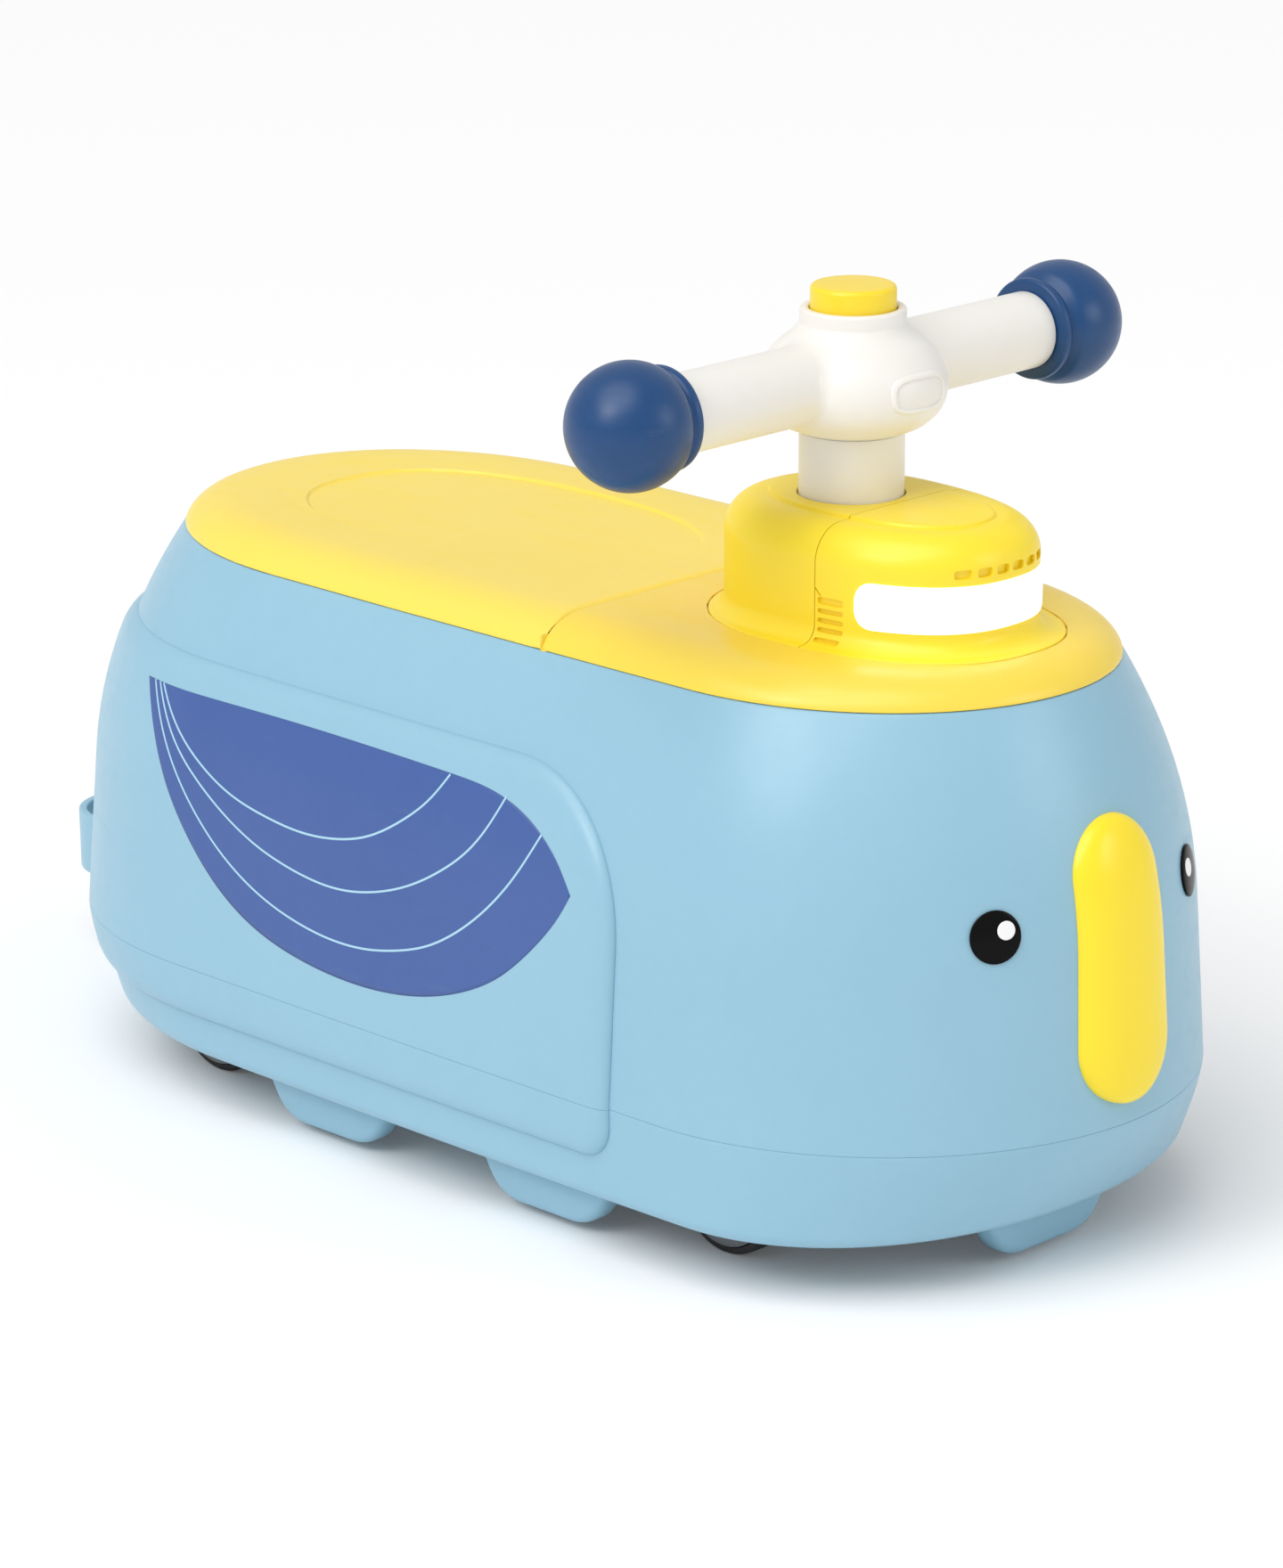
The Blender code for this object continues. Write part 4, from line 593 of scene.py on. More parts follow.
def deck_skin():
    """The front of the yellow cap, from the rim in to the flange of the lamp housing."""
    rear = SPLIT_Y + GAP
    u_end = 1 + (rear - RIM.front_shoulder) / (RIM.rear_shoulder - RIM.front_shoulder)
    u = joined([steps(0, 1, 61)[:-1], steps(1, u_end, 24)])
    x, y = plan_point(RIM, u, 0.0)
    edge_x = x[-1]
    line = edge_x * np.cos(steps(0, np.pi, 50)[1:-1])
    px = joined([-x[:0:-1], x, line])
    py = joined([y[:0:-1], y, np.full(len(line), rear)])
    dy = py - HOUSING_MIDDLE
    reach = np.hypot(px, dy)
    inner = oval_ray(FLANGE, px / reach, dy / reach, 0.6) / reach
    share = inner + (1 - inner) * (1 - steps(0, 1, 34)[:, None] ** 1.8)
    gx, gy = px * share, HOUSING_MIDDLE + dy * share
    z = cap_height(gx, gy) + 0.12 - roll_off(rear - gy)
    across = (gy[0] > rear - 0.01) & (abs(gx[0]) < edge_x - 0.01)
    foot = points(gx[0], gy[0], np.where(across, CAP_FOOT + 6, CAP_FOOT))[None]
    top = points(gx, gy, z)
    drop = top[-1:] - (0, 0, 3.0)
    piece("front_deck_skin", [joined([foot, top, drop])], deck_painted_shade_yellow, wall=1.0, crease=50, even=False)


def oval_depth(x, y, middle, width, length):
    """How far a point lies inside the superellipse of the seat, (1 - (|x/w|^2.4 + |y/l|^2.4)^(1/2.4)) w."""
    ring = (np.abs(x) / width) ** RECESS_POWER + (np.abs(y - middle) / length) ** RECESS_POWER
    return (1 - ring ** (1 / RECESS_POWER)) * width


def eased(t):
    """A soft step from 0 to 1, 3 t^2 - 2 t^3."""
    t = np.clip(t, 0, 1)
    return t * t * (3 - 2 * t)


def recess_drop(x, y):
    """Depth of the seat's hollow: an oval pan with a soft wall, and a shallow band behind it."""
    inside = oval_depth(x, y, RECESS_MIDDLE, RECESS_WIDTH, RECESS_LENGTH)
    pan = (RECESS_DEPTH - 0.2) * eased((inside + 0.2) / 1.4)
    band = BAND_DEPTH * eased(oval_depth(x, y, BAND_MIDDLE, BAND_WIDTH, BAND_LENGTH) / 9.0)
    return np.where(y > RECESS_MIDDLE, np.maximum(pan, band), pan)


def lid_skin():
    """The seat: rays from the middle of the hollow out to the rim, with the rounded edge over the hinge."""
    front = HINGE_Y - HINGE_R + 0.02
    u_start = 1 + (front - RIM.front_shoulder) / (RIM.rear_shoulder - RIM.front_shoulder)
    u = joined([steps(u_start, 2, 60)[:-1], steps(2, 3, 71)])
    x, y = plan_point(RIM, u, 0.0)
    line = x[0] * np.cos(steps(0, np.pi, 64)[1:-1])
    px = joined([x, -x[-2::-1], -line])
    py = joined([y, y[-2::-1], np.full(len(line), front)])
    dy = py - RECESS_MIDDLE
    reach = np.hypot(px, dy)
    cx, cy = px / reach, dy / reach
    pan = (np.abs(cx) / RECESS_WIDTH) ** RECESS_POWER + (np.abs(cy) / RECESS_LENGTH) ** RECESS_POWER
    pan = pan ** (-1 / RECESS_POWER)
    share = pan / reach
    edge = [0.93, 0.95, 0.965, 0.974, 0.98, 0.984, 0.988, 0.992, 0.996, 1.0, 1.003, 1.006]
    in_pan = joined([steps(0, 0.9, 14), edge])[:, None] * share
    beyond = share * 1.006 + (1 - share * 1.006) * (1 - (1 - steps(0, 1, 30)[1:, None]) ** 1.8)
    grid = joined([in_pan, beyond])
    gx, gy = px * grid, RECESS_MIDDLE + dy * grid
    cap = cap_height(gx, gy) + 0.12
    bead = HINGE_Z + np.sqrt(np.clip((HINGE_R + 0.12) ** 2 - (gy - HINGE_Y) ** 2, 0, None))
    z = np.where(gy < HINGE_Y, np.minimum(cap, bead), cap) - recess_drop(gx, gy)
    top = points(gx, gy, z)
    side_low = HINGE_Z - np.sqrt(np.clip(7.7**2 - np.clip(HINGE_Y - py, 0, None) ** 2, 0, None))
    across = (py < front + 0.01) & (np.abs(px) < x[0] - 0.01)
    low = np.where(across, HINGE_Z + 1.0, np.maximum(CAP_FOOT, side_low))
    foot = points(gx[-1], gy[-1], np.minimum(low, z[-1]))[None]
    piece("seat_lid_skin", [joined([top, foot])], seat_painted_light_yellow, "lid", wall=0.9, crease=50, even=False)


# Lamp housing

def wall_y(x):
    """Front of the housing's wall at x."""
    share = np.clip(np.abs(x) / HOUSING[0], 0, 1)
    return HOUSING_MIDDLE - HOUSING[2] * (1 - share**POWER_BEFORE) ** (1 / POWER_BEFORE)


def wall_x(y):
    """Half width of the housing's wall at y, in front of its middle."""
    share = (HOUSING_MIDDLE - y) / HOUSING[2]
    return HOUSING[0] * (1 - share**POWER_BEFORE) ** (1 / POWER_BEFORE)


def mix(first, second, share):
    """Sizes between two: a + (b - a) share."""
    return tuple(a + (b - a) * share for a, b in zip(first, second))


def housing_skin():
    """A wall of rows (sizes, grow, z): flange, hollow curve 7.5 (1 - cos a) high, straight side, quarter
    round, plateau and the stem's hole, then back down the inside."""
    turn = steps(0, math.tau, 181)[:-1]
    rows = [(FLANGE, -0.6, 253.7), (FLANGE, -0.15, 253.9), (FLANGE, 0, 254.4), (FLANGE, 0, 255.5),
            (FLANGE, -0.2, 256.05), (FLANGE, -0.75, 256.3)]
    for a in steps(0, np.pi / 2, 12):
        rows.append((mix(HOUSING, FLANGE, 0.8 * (1 - math.sin(a))), 0, 256.4 + 7.5 * (1 - math.cos(a))))
    start = HOUSING_TOP - HOUSING_ROUND
    rows += [(HOUSING, 0, z) for z in steps(264.5, start, 12)]
    rows += [(HOUSING, -HOUSING_ROUND * (1 - math.cos(a)), start + HOUSING_ROUND * math.sin(a))
             for a in steps(0, np.pi / 2, 16)[1:]]
    last = tuple(size - HOUSING_ROUND for size in HOUSING)
    rows += [(mix(last, PLATEAU, share), 0, HOUSING_TOP) for share in (0.3, 0.6)]
    rows += [(PLATEAU, 0.5, 304.5), (PLATEAU, 0.1, 304.65), (PLATEAU, -0.1, 305.1), (PLATEAU, -0.35, 305.55),
             (PLATEAU, -0.9, 305.76), (PLATEAU, -1.8, 305.8)]
    rings = [points(*oval(sizes, turn, grow), z) for sizes, grow, z in rows]
    edge = rings[-1]
    for radius, z, share in ((23.5, 305.8, 0.35), (23.5, 305.8, 0.7), (23.5, 305.8, 1), (22.9, 305.7, 1),
                             (22.65, 305.4, 1), (22.6, 304.9, 1), (22.6, 302.4, 1)):
        hole = points(radius * np.cos(turn), radius * np.sin(turn), z)
        rings.append(edge * (1 - share) + hole * share)
    bend = HOUSING_ROUND - HOUSING_WALL
    within = [(HOUSING, -HOUSING_WALL - bend * (1 - math.cos(a)), start + bend * math.sin(a))
              for a in steps(np.pi / 2, 0, 10)]
    within += [(HOUSING, -HOUSING_WALL, z) for z in (280.0, 266.0, 253.7)] + rows[:1]
    rings += [points(*oval(sizes, turn, grow), z) for sizes, grow, z in within]
    return piece("lamp_housing_front", [np.stack(rings)], lamp_yellow)


def slab(low, high):
    """A box-shaped cutter between two corners."""
    turn = np.array([-3, -1, 1, 3]) * np.pi / 4
    middle, half = (np.array(low) + high) / 2, (np.array(high) - low) / 2 * math.sqrt(2)
    ring = points(np.cos(turn) * half[0], np.sin(turn) * half[1], 0.0)
    rows = [ring + middle + (0, 0, side * half[2] / math.sqrt(2)) for side in (-1, 1)]
    return cutter(rows)


def lozenge(half_wide, half_tall, power=4.0, count=28):
    """Rounded rectangle round the origin."""
    wide, tall = unit_oval(steps(0, math.tau, count + 1)[:-1], power)
    return wide * half_wide, tall * half_tall


def dent(whole, side, along, up, deep):
    """Cuts a hollow of this outline into the side wall of the housing, from 8 mm outside it."""
    rows = [points(side * (wall_x(along) + depth), along, up) for depth in (deep, 8.0)]
    carve(whole, cutter(rows))


def housing():
    """Both halves: one skin cut for the vents and the ribs beside the split, then parted at the split."""
    whole = housing_skin()
    for x in (-23.0, -13.8, -4.6, 4.6, 13.8, 23.0):
        across, up = lozenge(3.5, 1.95)
        rows = [points(x + across, wall_y(x + across) + depth, VENT_Z + up) for depth in (-6.0, 2.0)]
        carve(whole, cutter(rows))
    for side in (-1, 1):
        for z, tall, deep in ((258.3, 1.0, 0.6), (262.2, 1.1, -1.5), (266.1, 1.1, -1.6), (270.1, 1.1, -1.6),
                              (274.4, 1.6, -1.6)):
            along, up = lozenge(6.2, tall, 5.0)
            dent(whole, side, -34.5 + along, z + up, deep)
        along, up = lozenge(2.2, 0.4)
        dent(whole, side, -28.25 + 0.67 * along - 0.74 * up, 278.0 + 0.74 * along + 0.67 * up, -1.2)
    rear = whole.copy()
    rear.data = whole.data.copy()
    rear.name = "lamp_housing_rear"
    bpy.context.scene.collection.objects.link(rear)
    carve(whole, slab((-90, HOUSING_SPLIT - 0.2, 240), (90, 120, 330)))
    carve(rear, slab((-90, -140, 240), (90, HOUSING_SPLIT + 0.2, 330)))
    for half in (whole, rear):
        half.data.shade_smooth()
        half.data.set_sharp_from_angle(angle=math.radians(35))
    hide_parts("housing_front")
    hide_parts("housing_rear")


def lens():
    """A strip that wraps the wall, at s from its end 9.9 (1 - (1 - s/9)^2.6)^(1/2.6) up and down."""
    half = 47.6
    v = steps(-1, 1, 121)[1:-1]
    x = half * np.sin(v * np.pi / 2)
    slope = (wall_y(x + 0.1) - wall_y(x - 0.1)) / 0.2
    normal = points(slope, -1.0, 0.0)
    normal /= np.linalg.norm(normal, axis=1)[:, None]
    ends = joined([[-half], x, [half]])
    gone = joined([[0], np.cumsum(np.hypot(np.diff(ends), np.diff(wall_y(ends))))])
    run = np.minimum(gone, gone[-1] - gone)[1:-1]
    tall = LENS_TALL * (1 - np.clip(1 - run / LENS_END, 0, 1) ** 2.6) ** (1 / 2.6)
    across, up = lozenge(1.0, 1.0, 5.0, 40)
    depth = np.clip(tall / 4.0, 0.05, 1.0)
    centre = points(x, wall_y(x), LENS_Z)
    grid = centre[:, None] + normal[:, None] * (across * 1.5 - 0.5)[None, :, None] * depth[:, None, None]
    grid = grid + up[None, :, None] * tall[:, None, None] * np.array([0, 0, 1.0])
    piece("lamp_lens", [capped(grid)], lens_white, node="light_lens")


# Steering

HUB_LINE = ((24.2, -23.0), (31.0, -19.8), (37.0, -13.6), (39.5, -5.1), (38.0, 3.4), (32.5, 11.4),
            (25.5, 17.4), (22.6, 21.0), (22.1, 23.0))
hub_curve = smooth_line(HUB_LINE, 90)


def hub_radius(rise):
    """Radius of the round hub at this height over the bar's axis."""
    return np.interp(rise, hub_curve[:, 1], hub_curve[:, 0])


def bar_side(side):
    """Half of the bar: a tube that flares onto the hub along p = a (1-t)^2 + 2 b t (1-t) + c t^2,
    a on the bar, b where bar and hub would meet, c on the hub."""
    turn = steps(0, math.tau, 97)[:-1]
    c, s = np.cos(turn), np.sin(turn)
    y, z = BAR_R * c, BAR_R * s
    meet = np.sqrt(hub_radius(z) ** 2 - y**2)
    flare = 4.0 + 1.5 * s
    wide = 1 + flare / BAR_R
    y2, z2 = y * wide, z * wide
    x2 = np.sqrt(np.clip(hub_radius(z2) ** 2 - y2**2, 1, None)) - 0.12
    a, b, d = points(meet + flare, y, z), points(meet, y, z), points(x2, y2, z2)
    t = steps(0, 1, 14)[:, None, None]
    fillet = a * (1 - t) ** 2 + 2 * b * t * (1 - t) + d * t**2
    out = [points(BAR_END - drop, y * (1 - inset / BAR_R), z * (1 - inset / BAR_R))
           for drop, inset in ((0, 0.9), (0.12, 0.4), (0.45, 0.1), (1.0, 0.0))]
    share = steps(0, 1, 14)[1:-1, None, None]
    straight = out[-1] * (1 - share) + a * share
    grid = joined([np.stack(out), straight, fillet])
    return grid * (side, 1, 1) + (0, 0, BAR_Z)


def handlebar():
    """Hub, a profile turned round the stem, with both halves of the bar, and the bare oval rim on it: a
    bead of 0.95 sin b about the superellipse |x/14.8|^3.1 + |z/7.1|^3.1 = 1."""
    edge = [(22.3, -22.6), (22.9, -23.0), (23.6, -23.1)]
    top = [(22.1, 26.6), (21.9, 27.3), (21.3, 27.8), (20.4, 27.9), (19.1, 27.9), (18.6, 27.6), (18.35, 27.0),
           (18.3, 22.0)]
    profile = joined([edge, hub_curve, top])
    hub = spun(profile, (0, 0, BAR_Z), count=128)
    piece("handlebar_shell", [hub, bar_side(1), bar_side(-1)], ivory, "steering",
          wall=2.0, crease=48, node="handlebar")
    turn = steps(0, math.tau, 97)[:, None]
    bulge = steps(0, math.tau, 25)[None, :]
    half_x = 14.8 + 1.2 * np.cos(bulge)
    half_z = 7.1 + 1.15 * np.cos(bulge)
    wide, tall = unit_oval(turn, 3.1)
    x, rise = half_x * wide, BADGE_RISE + half_z * tall
    radius = hub_radius(rise) + 0.95 * np.sin(bulge) - 0.05
    rim = points(x, -np.sqrt(radius**2 - x**2), BAR_Z + rise)
    piece("handlebar_badge_rim", [(rim, False)], ivory, "steering")


def grips():
    """A ball with a waist and a collar, turned round the bar's axis, and a plug that fills the bar's end."""
    start = math.atan2(20.9, -14.9)
    arc = steps(0, start - 0.16, 40)
    ball = np.stack([BALL_R * np.sin(arc), BALL_X + BALL_R * np.cos(arc)], -1)
    foot = ball[-1]
    waist = smooth_line([foot, (21.2, 115.9), (20.55, 115.1), (20.9, 114.4), (21.5, 113.6), (21.8, 112.4),
                         (21.7, 111.0), (21.1, 110.1), (20.2, 109.8)], 34)
    plug = [(14.5, 109.8), (13.2, 109.8), (13.2, 86.0), (12.4, 84.4), (11.0, 83.8), (0, 83.8)]
    profile = joined([ball, waist[1:], plug])
    for name, side in SIDES:
        grid = spun(profile, (0, 0, BAR_Z), (side, 0, 0))
        piece(f"grip_ball_{name}", [grid], navy, "steering", node=f"grip_{name}")


def horn_button():
    """Cap turned from a nearly flat crown, a quarter round of 2.2 and a straight skirt with a foot."""
    top = BUTTON_TOP
    a = steps(0, np.pi / 2, 9)
    crown = [(0, top), (8, top - 0.02), (13, top - 0.1), (15.7, top - 0.3)]
    edge = np.stack([15.7 + 2.2 * np.sin(a), top - 0.3 - 2.2 * (1 - np.cos(a))], -1)[1:]
    skirt = [(17.9, 386.0), (17.9, 380.0), (17.9, 374.2), (20.5, 374.0), (20.5, 372.1)]
    profile = joined([crown, edge, skirt])
    piece("horn_button_cap", [spun(profile)], button_yellow, "button", wall=2.0, node="horn_button")


def stem():
    """The steering stem, stepped down to the shaft below and to the neck inside the hub."""
    profile = [(0, 38), (13.4, 38), (14, 38.6), (14, 90), (14, 180), (14, 256), (17, 258.2), (21.4, 261.2),
               (22, 262.2), (22, 280), (22, 300), (22, 318), (22, 332), (21.6, 332.6), (18, 332.7),
               (18, 340), (18, 349.2), (17.6, 349.6), (9, 349.6), (9, 349.0), (9, 200), (9, 62), (0, 62)]
    piece("steering_stem", [spun(profile, count=112)], ivory, "steering", crease=30, node="steering_column")


# Wheels

def wheels():
    """Tyre, a rounded band with two grooves, and hub: profiles of (radius, distance out) turned round
    the axle."""
    tyre = rounded([(23.7, 95.9), (27, 95.9), (27, 74.1), (23.7, 74.1)], (0.4, 2.6, 2.6, 0.4), 8)
    tread = [(27, 92.6), (27, 89.6), (26.75, 89.4), (26.4, 89.2), (26.4, 88.6), (26.75, 88.4), (27, 88.2)]
    tread += [(radius, 2 * WHEEL_MIDDLE - at) for radius, at in tread[::-1]]
    half = len(tyre) // 2
    tyre = joined([tyre[:half], tread, tyre[half:], tyre[:1]])
    hub = [(0, 95.0), (3.2, 94.9), (4.6, 94.3), (5.4, 93.2), (6.2, 92.6), (8.5, 92.3), (13.5, 92.3),
           (16.2, 92.5), (17.4, 93.2), (18.0, 94.8), (18.7, 96.2), (19.7, 96.85), (20.8, 97.0), (22.4, 97.0),
           (23.1, 96.7), (23.3, 96.0), (23.3, 85), (23.3, 74.4), (22.8, 73.9), (21.0, 73.8), (20.2, 74.4),
           (19.9, 75.6), (19.6, 80.5), (12, 80.9), (8.4, 80.2), (7.4, 75), (7.0, 71.8), (6.4, 71.5),
           (4.3, 71.5), (4.25, 72), (4.25, 84), (4.25, 92), (0, 92)]
    for end, y in (("front", -20.5), ("rear", 295.5)):
        for name, side in SIDES:
            place = (0, y, WHEEL_R)
            wheel = f"wheel_{end}_{name}"
            for part, profile, material, crease, node in (("tyre", tyre, tyre_black, 30, "tyre"),
                                                          ("disc", hub, grey_hub, 34, "wheel_hub")):
                piece(f"{wheel}_{part}", [spun(profile, place, (side, 0, 0))], material, wheel,
                      crease=crease, node=f"{node}_{end}_{name}")


# Face

def face_y(x, z):
    """Front of the body at x and z."""
    x, z = np.broadcast_arrays(np.asarray(x, float), np.asarray(z, float))
    low, high = halved(x.shape, 1, lambda u: body_point(u, z)[0] < np.abs(x))
    return body_point((low + high) / 2, z)[1]


def beak():
    """Domed strip, w(z) sqrt(1 - (1 - e/w)^2) to a side at e from its end, 7.85 (1 - |s|^3)^0.5 proud."""
    share = (1 - np.cos(steps(0, np.pi, 66)[1:-1])) / 2
    z = BEAK_LOW + (BEAK_HIGH - BEAK_LOW) * share
    widest = 27.5 - 4.0 * share
    into = np.minimum(z - BEAK_LOW, BEAK_HIGH - z)
    end = np.sqrt(1 - np.clip(1 - into / widest, 0, 1) ** 2)
    s = -np.cos(steps(0, np.pi, 41))
    x = (widest * end)[:, None] * s[None, :]
    level = np.broadcast_to(z[:, None], x.shape)
    skin = face_y(x, level)
    dome = BEAK_PROUD * (1 - np.abs(s[None, :]) ** 3) ** 0.5 * end[:, None] ** 0.6
    front = points(x, skin - 0.05 - dome, level)
    back = points(x, skin + 1.2, level)[:, -2:0:-1]
    strip = capped(joined([front, back], 1))
    piece("beak_dome", [strip], beak_painted_light_yellow, node="beak")


def eye_place(side):
    """Middle of the eye on the body and the direction it faces."""
    x, z, d = side * EYE_X, EYE_Z, 4.0
    across = (face_y(x + d, z) - face_y(x - d, z)) / (2 * d)
    up = (face_y(x, z + d) - face_y(x, z - d)) / (2 * d)
    return np.array([x, face_y(x, z), z]), Vector((float(across), -1.0, float(up))).normalized()


def eye_rise(r):
    """Height of the eye's disc, 0.5 + 1.3 (1 - (r/11)^2.3)^0.6 at r from its middle."""
    return 0.5 + 1.3 * (1 - (r / EYE_R) ** 2.3) ** 0.6


def eyes():
    """A black disc, turned round the direction it faces, and a small white dot laid on it."""
    for name, side in SIDES:
        place, normal = eye_place(side)
        r = EYE_R * np.sin(steps(0, np.pi / 2, 22))
        back = [(EYE_R, 0.3), (10.9, 0.0), (10.6, -1.0), (3.0, -1.2), (3.0, -7.6), (2.6, -8.0), (0, -8.0)]
        profile = joined([np.stack([r, eye_rise(r)], -1), back])
        piece(f"eye_disc_{name}", [spun(profile, place, normal, 72)], eye_black, node=f"eye_{name}")
        out = np.array(normal)
        right = np.cross((0, 0, 1.0), out)
        right /= np.linalg.norm(right)
        up = np.cross(out, right)
        spot = steps(0, 3.9, 9)[:, None]
        turn = steps(0, math.tau, 49)[None, :-1]
        a = -side * 4.3 + spot * np.cos(turn)
        b = 2.6 + spot * np.sin(turn)
        rise = eye_rise(np.hypot(a, b)) + 0.1
        grid = place + a[..., None] * right + b[..., None] * up + rise[..., None] * out
        piece(f"eye_dot_{name}", [grid], eye_white, wall=0.35)


# Wing print

WING_UPPER = ((303, 190), (250, 190.5), (200, 191), (150, 190.5), (105, 189.5), (85, 188.5), (71, 186),
              (59, 182), (48, 176), (37, 167), (28, 155))
WING_LOWER = ((303, 190), (295, 176), (284, 156), (270, 135), (251, 115), (228, 100), (200, 91),
              (166, 87), (138, 87.5), (114, 91), (94, 97), (76, 105), (60, 116), (44, 132), (34, 144),
              (28, 155))
WING_LINES = (
    ((290, 190), (278, 177), (261, 164), (238, 153), (213, 148), (190, 146), (168, 148), (147, 154),
     (127, 166), (114, 177), (105, 189)),
    ((293, 190), (276, 168), (252, 150), (225, 136), (199, 129), (172, 126), (148, 129), (124, 137),
     (103, 149), (88, 161), (78, 174), (71, 187)),
    ((297, 190), (283, 168), (266, 147), (247, 129), (223, 115), (198, 107), (171, 103), (147, 104),
     (129, 108), (110, 114), (89, 127), (71, 143), (58, 159), (48, 176)),
)


def on_panel(side, flat, lift):
    """Points (y, z) of the side view, laid on the raised panel."""
    y, z = flat[..., 0], flat[..., 1]
    grow = PANEL_PROUD + lift
    x = body_point(u_at(y, z, grow), z, grow)[0]
    return points(side * x, y, z)


def even_line(path, count):
    """The smooth line, evened by a running mean, with its points the same distance apart."""
    line = smooth_line(path, 400)
    line = joined([2 * line[:1] - line[20:0:-1], line, 2 * line[-1:] - line[-2:-22:-1]])
    line = np.stack([np.convolve(line[:, i], np.full(41, 1 / 41), "valid") for i in (0, 1)], -1)
    gone = joined([[0], np.cumsum(np.linalg.norm(np.diff(line, axis=0), axis=1))])
    at = steps(0, gone[-1], count)
    return np.stack([np.interp(at, gone, line[:, 0]), np.interp(at, gone, line[:, 1])], -1)


def wing():
    """A leaf between two smooth lines, p = upper (1 - s) + lower s, and pale strips along three more."""
    upper, lower = even_line(WING_UPPER, 90), even_line(WING_LOWER, 90)
    share = steps(0, 1, 40)[:, None, None]
    leaf = upper * (1 - share) + lower * share
    for name, side in SIDES:
        piece(f"wing_print_{name}", [(on_panel(side, leaf, 0.12), False)], wing_blue, wall=0.25)
        strips = []
        for path in WING_LINES:
            line = even_line(path, 100)
            along = np.gradient(line, axis=0)
            along /= np.linalg.norm(along, axis=1)[:, None]
            across = np.stack([-along[:, 1], along[:, 0]], -1)
            width = steps(-0.48, 0.48, 5)[:, None, None]
            strips.append((on_panel(side, line + across * width, 0.19), False))
        piece(f"wing_lines_{name}", strips, wing_line, wall=0.2)


# Tow loop and feet

def tow_loop():
    """Band swept round the back, straight legs and a half circle, its section a rounded rectangle, and the
    plate that it stands on."""
    arc = steps(0, np.pi, 61)
    legs = steps(LOOP_START, LOOP_BEND, 16)[:-1]
    out_x = joined([np.ones(15), np.cos(arc), -np.ones(15)])[:, None]
    out_y = joined([np.zeros(15), np.sin(arc), np.zeros(15)])[:, None]
    start = joined([legs, np.full(61, LOOP_BEND), legs[::-1]])[:, None]
    corners = [(-2, -LOOP_TALL), (2, -LOOP_TALL), (2, LOOP_TALL), (-2, LOOP_TALL)]
    across, up = rounded(corners, (1.2, 1.2, 1.2, 1.2), 6).T
    reach = LOOP_R + across - 0.4 * (LOOP_TALL - up) / (2 * LOOP_TALL) * (across > 0)
    band = points(out_x * reach, start + out_y * reach, LOOP_Z + up)
    wide, tall = lozenge(33.5, 12.8, 8.0, 40)
    plate = np.stack([points(wide * k, LOOP_START + run, LOOP_Z + 0.5 + tall * k)
                      for run, k in ((0, 0.97), (0.3, 1), (3.6, 1), (4.0, 0.97))])
    piece("tow_loop_band", [capped(band), capped(plate)], sky_blue, node="tow_loop")


def foot_piece(name, node, middle, low, high, order=(0, 1, 2)):
    """A runner foot: trapezium with rounded corners, its faces' edges rounded too. Each row at a depth is
    drawn in by its inset. order (1, 0, 2) lays the foot across the body."""
    corners = [(-FOOT_HALF, FOOT_TOP), (FOOT_HALF, FOOT_TOP), (37.3, 20.5), (27.5, FOOT_LOW),
               (-27.5, FOOT_LOW), (-37.3, 20.5)]
    run, z = rounded(corners, (0.5, 0.5, 3.5, 12.5, 12.5, 3.5), 11).T
    edge = ((0, 3.4), (0.5, 2.1), (1.3, 1.1), (2.4, 0.4), (4.0, 0.0))
    rows = [(low + depth, inset) for depth, inset in edge]
    rows += [(low + high - at, inset) for at, inset in rows[::-1]]
    tall = FOOT_TOP - FOOT_LOW
    grid = [points(at, middle + run * (1 - inset / FOOT_HALF), FOOT_TOP - (FOOT_TOP - z) * (1 - inset / tall))
            for at, inset in rows]
    centre = np.array(((low + high) / 2, middle, 0))[list(order)]
    peg = [(0, 23.5), (3.0, 23.5), (3.0, 29.6), (2.6, 30.0), (0, 30.0)]
    peg = spun(peg, centre, count=24)
    piece(name, [capped(np.stack(grid)[..., order]), peg], sky_blue, crease=50, node=node)


def feet():
    """Two feet along each side, one across the front and one across the back."""
    for end, y in (("front", 58.5), ("rear", 193.0)):
        for name, side in SIDES:
            low, high = sorted((side * 110.0, side * 124.0))
            foot_piece(f"runner_foot_{end}_{name}", f"foot_{end}_{name}", y, low, high)
    foot_piece("runner_foot_front", "front_foot", 0.0, -116.5, -103.0, (1, 0, 2))
    foot_piece("runner_foot_rear", "rear_foot", 0.0, 373.5, 387.0, (1, 0, 2))


def finish_inside():
    """Better materials for the CAD nodes that stay."""
    finishes = {"storage_bin": bin_blue, "front_deck": deck_painted_shade_yellow, "seat_lid": seat_painted_light_yellow,
                "battery_door": sky_blue, "battery_box": black_shell, "front_axle_carrier": grey_hub,
                "lower_bush": ivory, "upper_bush": ivory, "thrust_washer": black_shell,
                "light_board": board_green, "horn_board": board_green, "horn_speaker": speaker_black}
    finishes.update({f"battery_{i}": cell_wrap for i in (1, 2, 3)})
    for node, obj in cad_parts.items():
        if obj.hide_render:
            continue
        material = finishes.get(node, steel)
        for place in obj.material_slots:
            place.material = material


# Studio

def shown(kind, share, first, second):
    """Two shaders mixed by share into an output of this kind."""
    both = share.node("ShaderNodeMixShader", {}, {0: share, 1: first, 2: second})
    both.node(kind, {}, {"Surface": both})


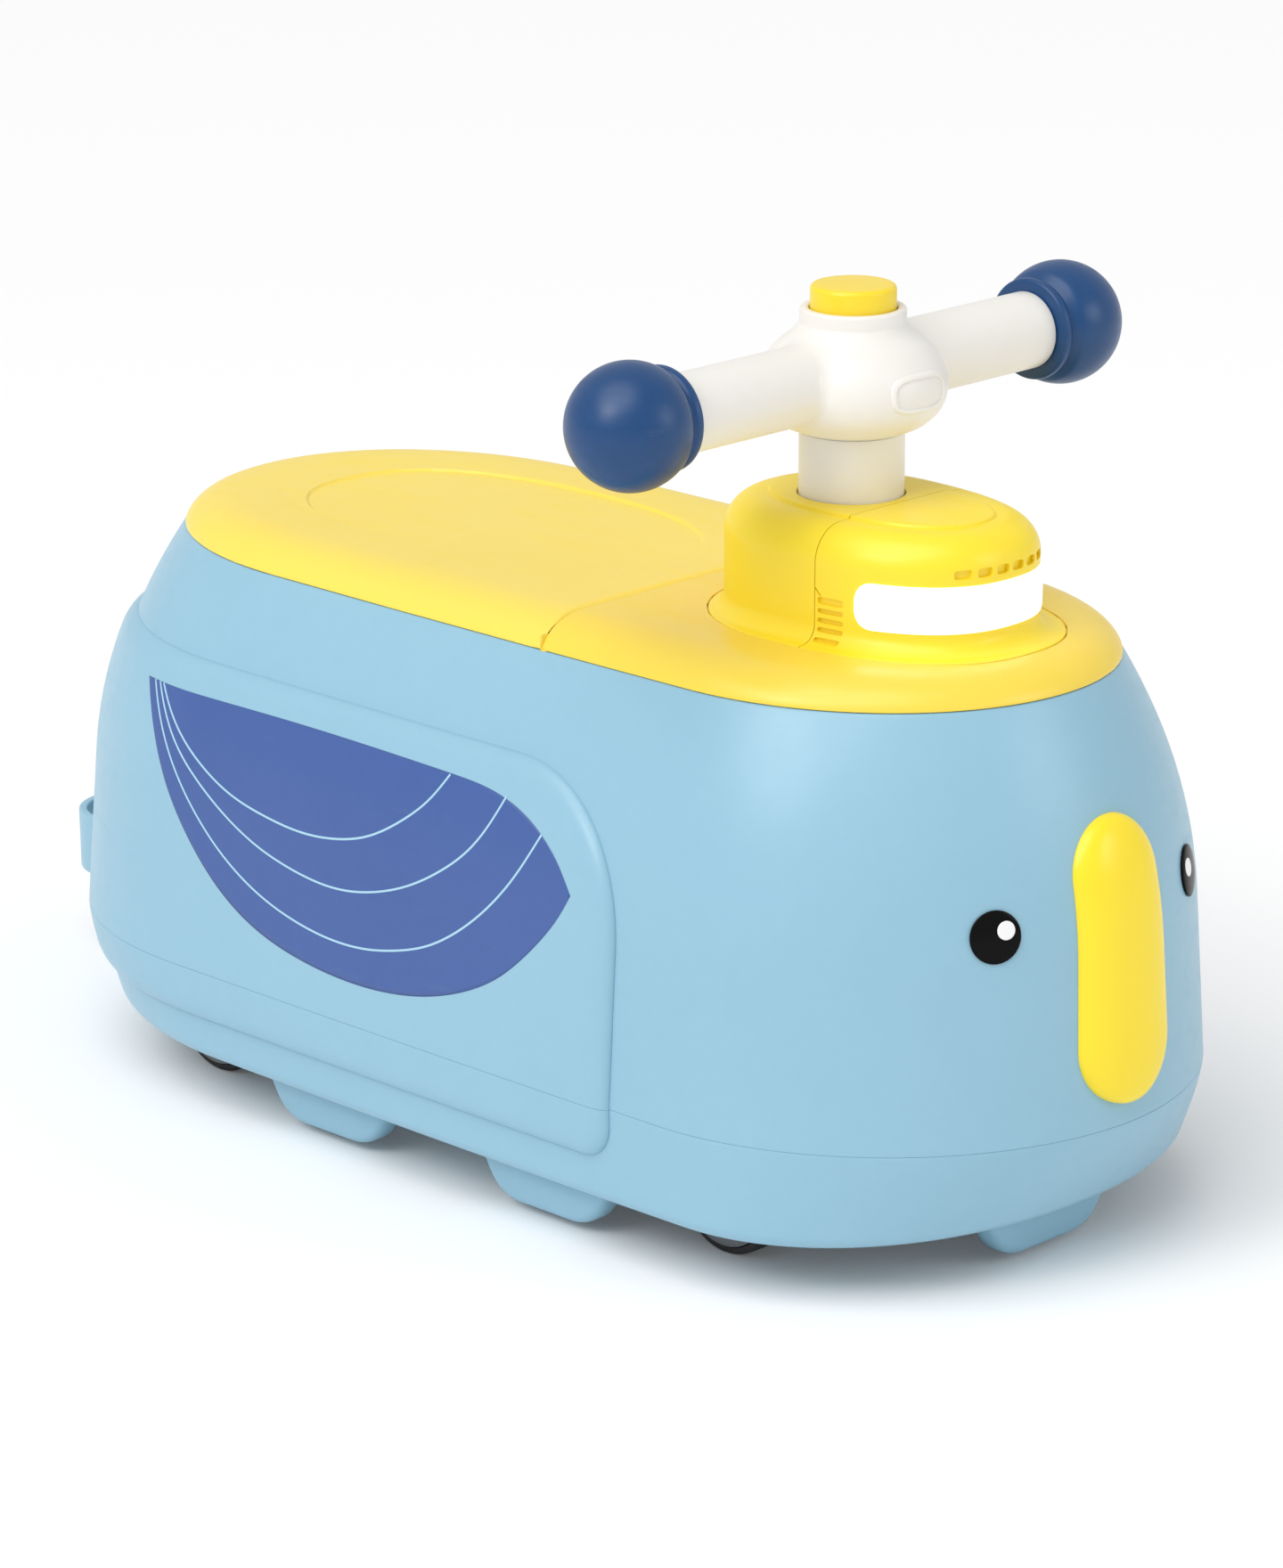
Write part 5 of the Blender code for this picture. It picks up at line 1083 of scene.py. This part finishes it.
def floor():
    """A matte, nearly white plane with a faint glow where the camera sees it."""
    side = steps(-14000, 14000, 3)
    x, y = np.meshgrid(side, side + MIDDLE_Y)
    mesh = bpy.data.meshes.new("floor")
    grid = (points(x, y, -0.05).reshape(-1, 3) - (0, MIDDLE_Y, 0)) * MM
    mesh.from_pydata(grid, [], quads(3, 3, False))
    obj = placed("studio_floor", mesh)
    material = bpy.data.materials.new("studio floor")
    material.use_nodes = True
    material.node_tree.nodes.clear()
    camera_ray = Wire(material.node_tree, None).node("ShaderNodeLightPath", {}, {}, "Is Camera Ray")
    matte = camera_ray.node("ShaderNodeBsdfDiffuse", {}, {"Color": (0.98, 0.98, 0.98, 1)})
    glow = camera_ray.node("ShaderNodeEmission", {}, {"Color": (1, 1, 1, 1), "Strength": 1.0})
    shown("ShaderNodeOutputMaterial", camera_ray * 0.06, matte, glow)
    obj.data.materials.append(material)


def lamp(name, kind, place, aim, power, settings):
    """A soft lamp that shines from place towards aim."""
    data = bpy.data.lights.new(name, kind)
    data.energy = power
    for key, value in settings.items():
        setattr(data, key, value)
    obj = placed(name, data)
    obj.location = place
    obj.rotation_euler = (Vector(aim) - Vector(place)).to_track_quat("-Z", "Y").to_euler()


def studio():
    """A wide sun lights the floor alike everywhere, round soft boxes give the gloss its highlights, and
    the camera and reflections see a whiter world than the one that lights."""
    floor()
    lamp("overhead", "SUN", (-0.58, -0.02, 1.0), (0, 0, 0), 1.6, {"angle": math.radians(55)})
    lamp("window", "AREA", (-2.3, -0.1, 1.7), (0, 0, 0.2), 12, {"shape": "DISK", "size": 1.1})
    lamp("fill", "AREA", (1.0, -2.4, 1.2), (0, -0.1, 0.15), 8, {"shape": "DISK", "size": 1.2})
    world = bpy.data.worlds.new("studio")
    bpy.context.scene.world = world
    world.use_nodes = True
    world.node_tree.nodes.clear()
    camera_ray = Wire(world.node_tree, None).node("ShaderNodeLightPath", {}, {}, "Is Camera Ray")
    mirrored = camera_ray.node("ShaderNodeLightPath", {}, {}, "Is Glossy Ray") * 0.4
    plain = camera_ray.node("ShaderNodeBackground", {}, {"Color": (1, 1, 1, 1), "Strength": 0.52})
    white = camera_ray.node("ShaderNodeBackground", {}, {"Color": (1, 1, 1, 1), "Strength": 1.0})
    seen = camera_ray.math("MAXIMUM", camera_ray, mirrored)
    shown("ShaderNodeOutputWorld", seen, plain, white)


def camera():
    """The camera, at the photograph's angle."""
    data = bpy.data.cameras.new("camera")
    data.sensor_fit = "VERTICAL"
    data.sensor_height = 36.0
    data.lens = 135.47
    data.clip_end = 60.0
    obj = placed("camera", data)
    obj.location = (-1.7499, -1.7584, 0.9177)
    obj.rotation_euler = (math.radians(72.660), 0.0, math.radians(-45.526))
    bpy.context.scene.camera = obj


body()
deck_skin()
lid_skin()
housing()
lens()
handlebar()
grips()
horn_button()
stem()
wheels()
beak()
eyes()
wing()
tow_loop()
feet()
finish_inside()
studio()
camera()
bpy.context.scene.view_settings.view_transform = "Standard"
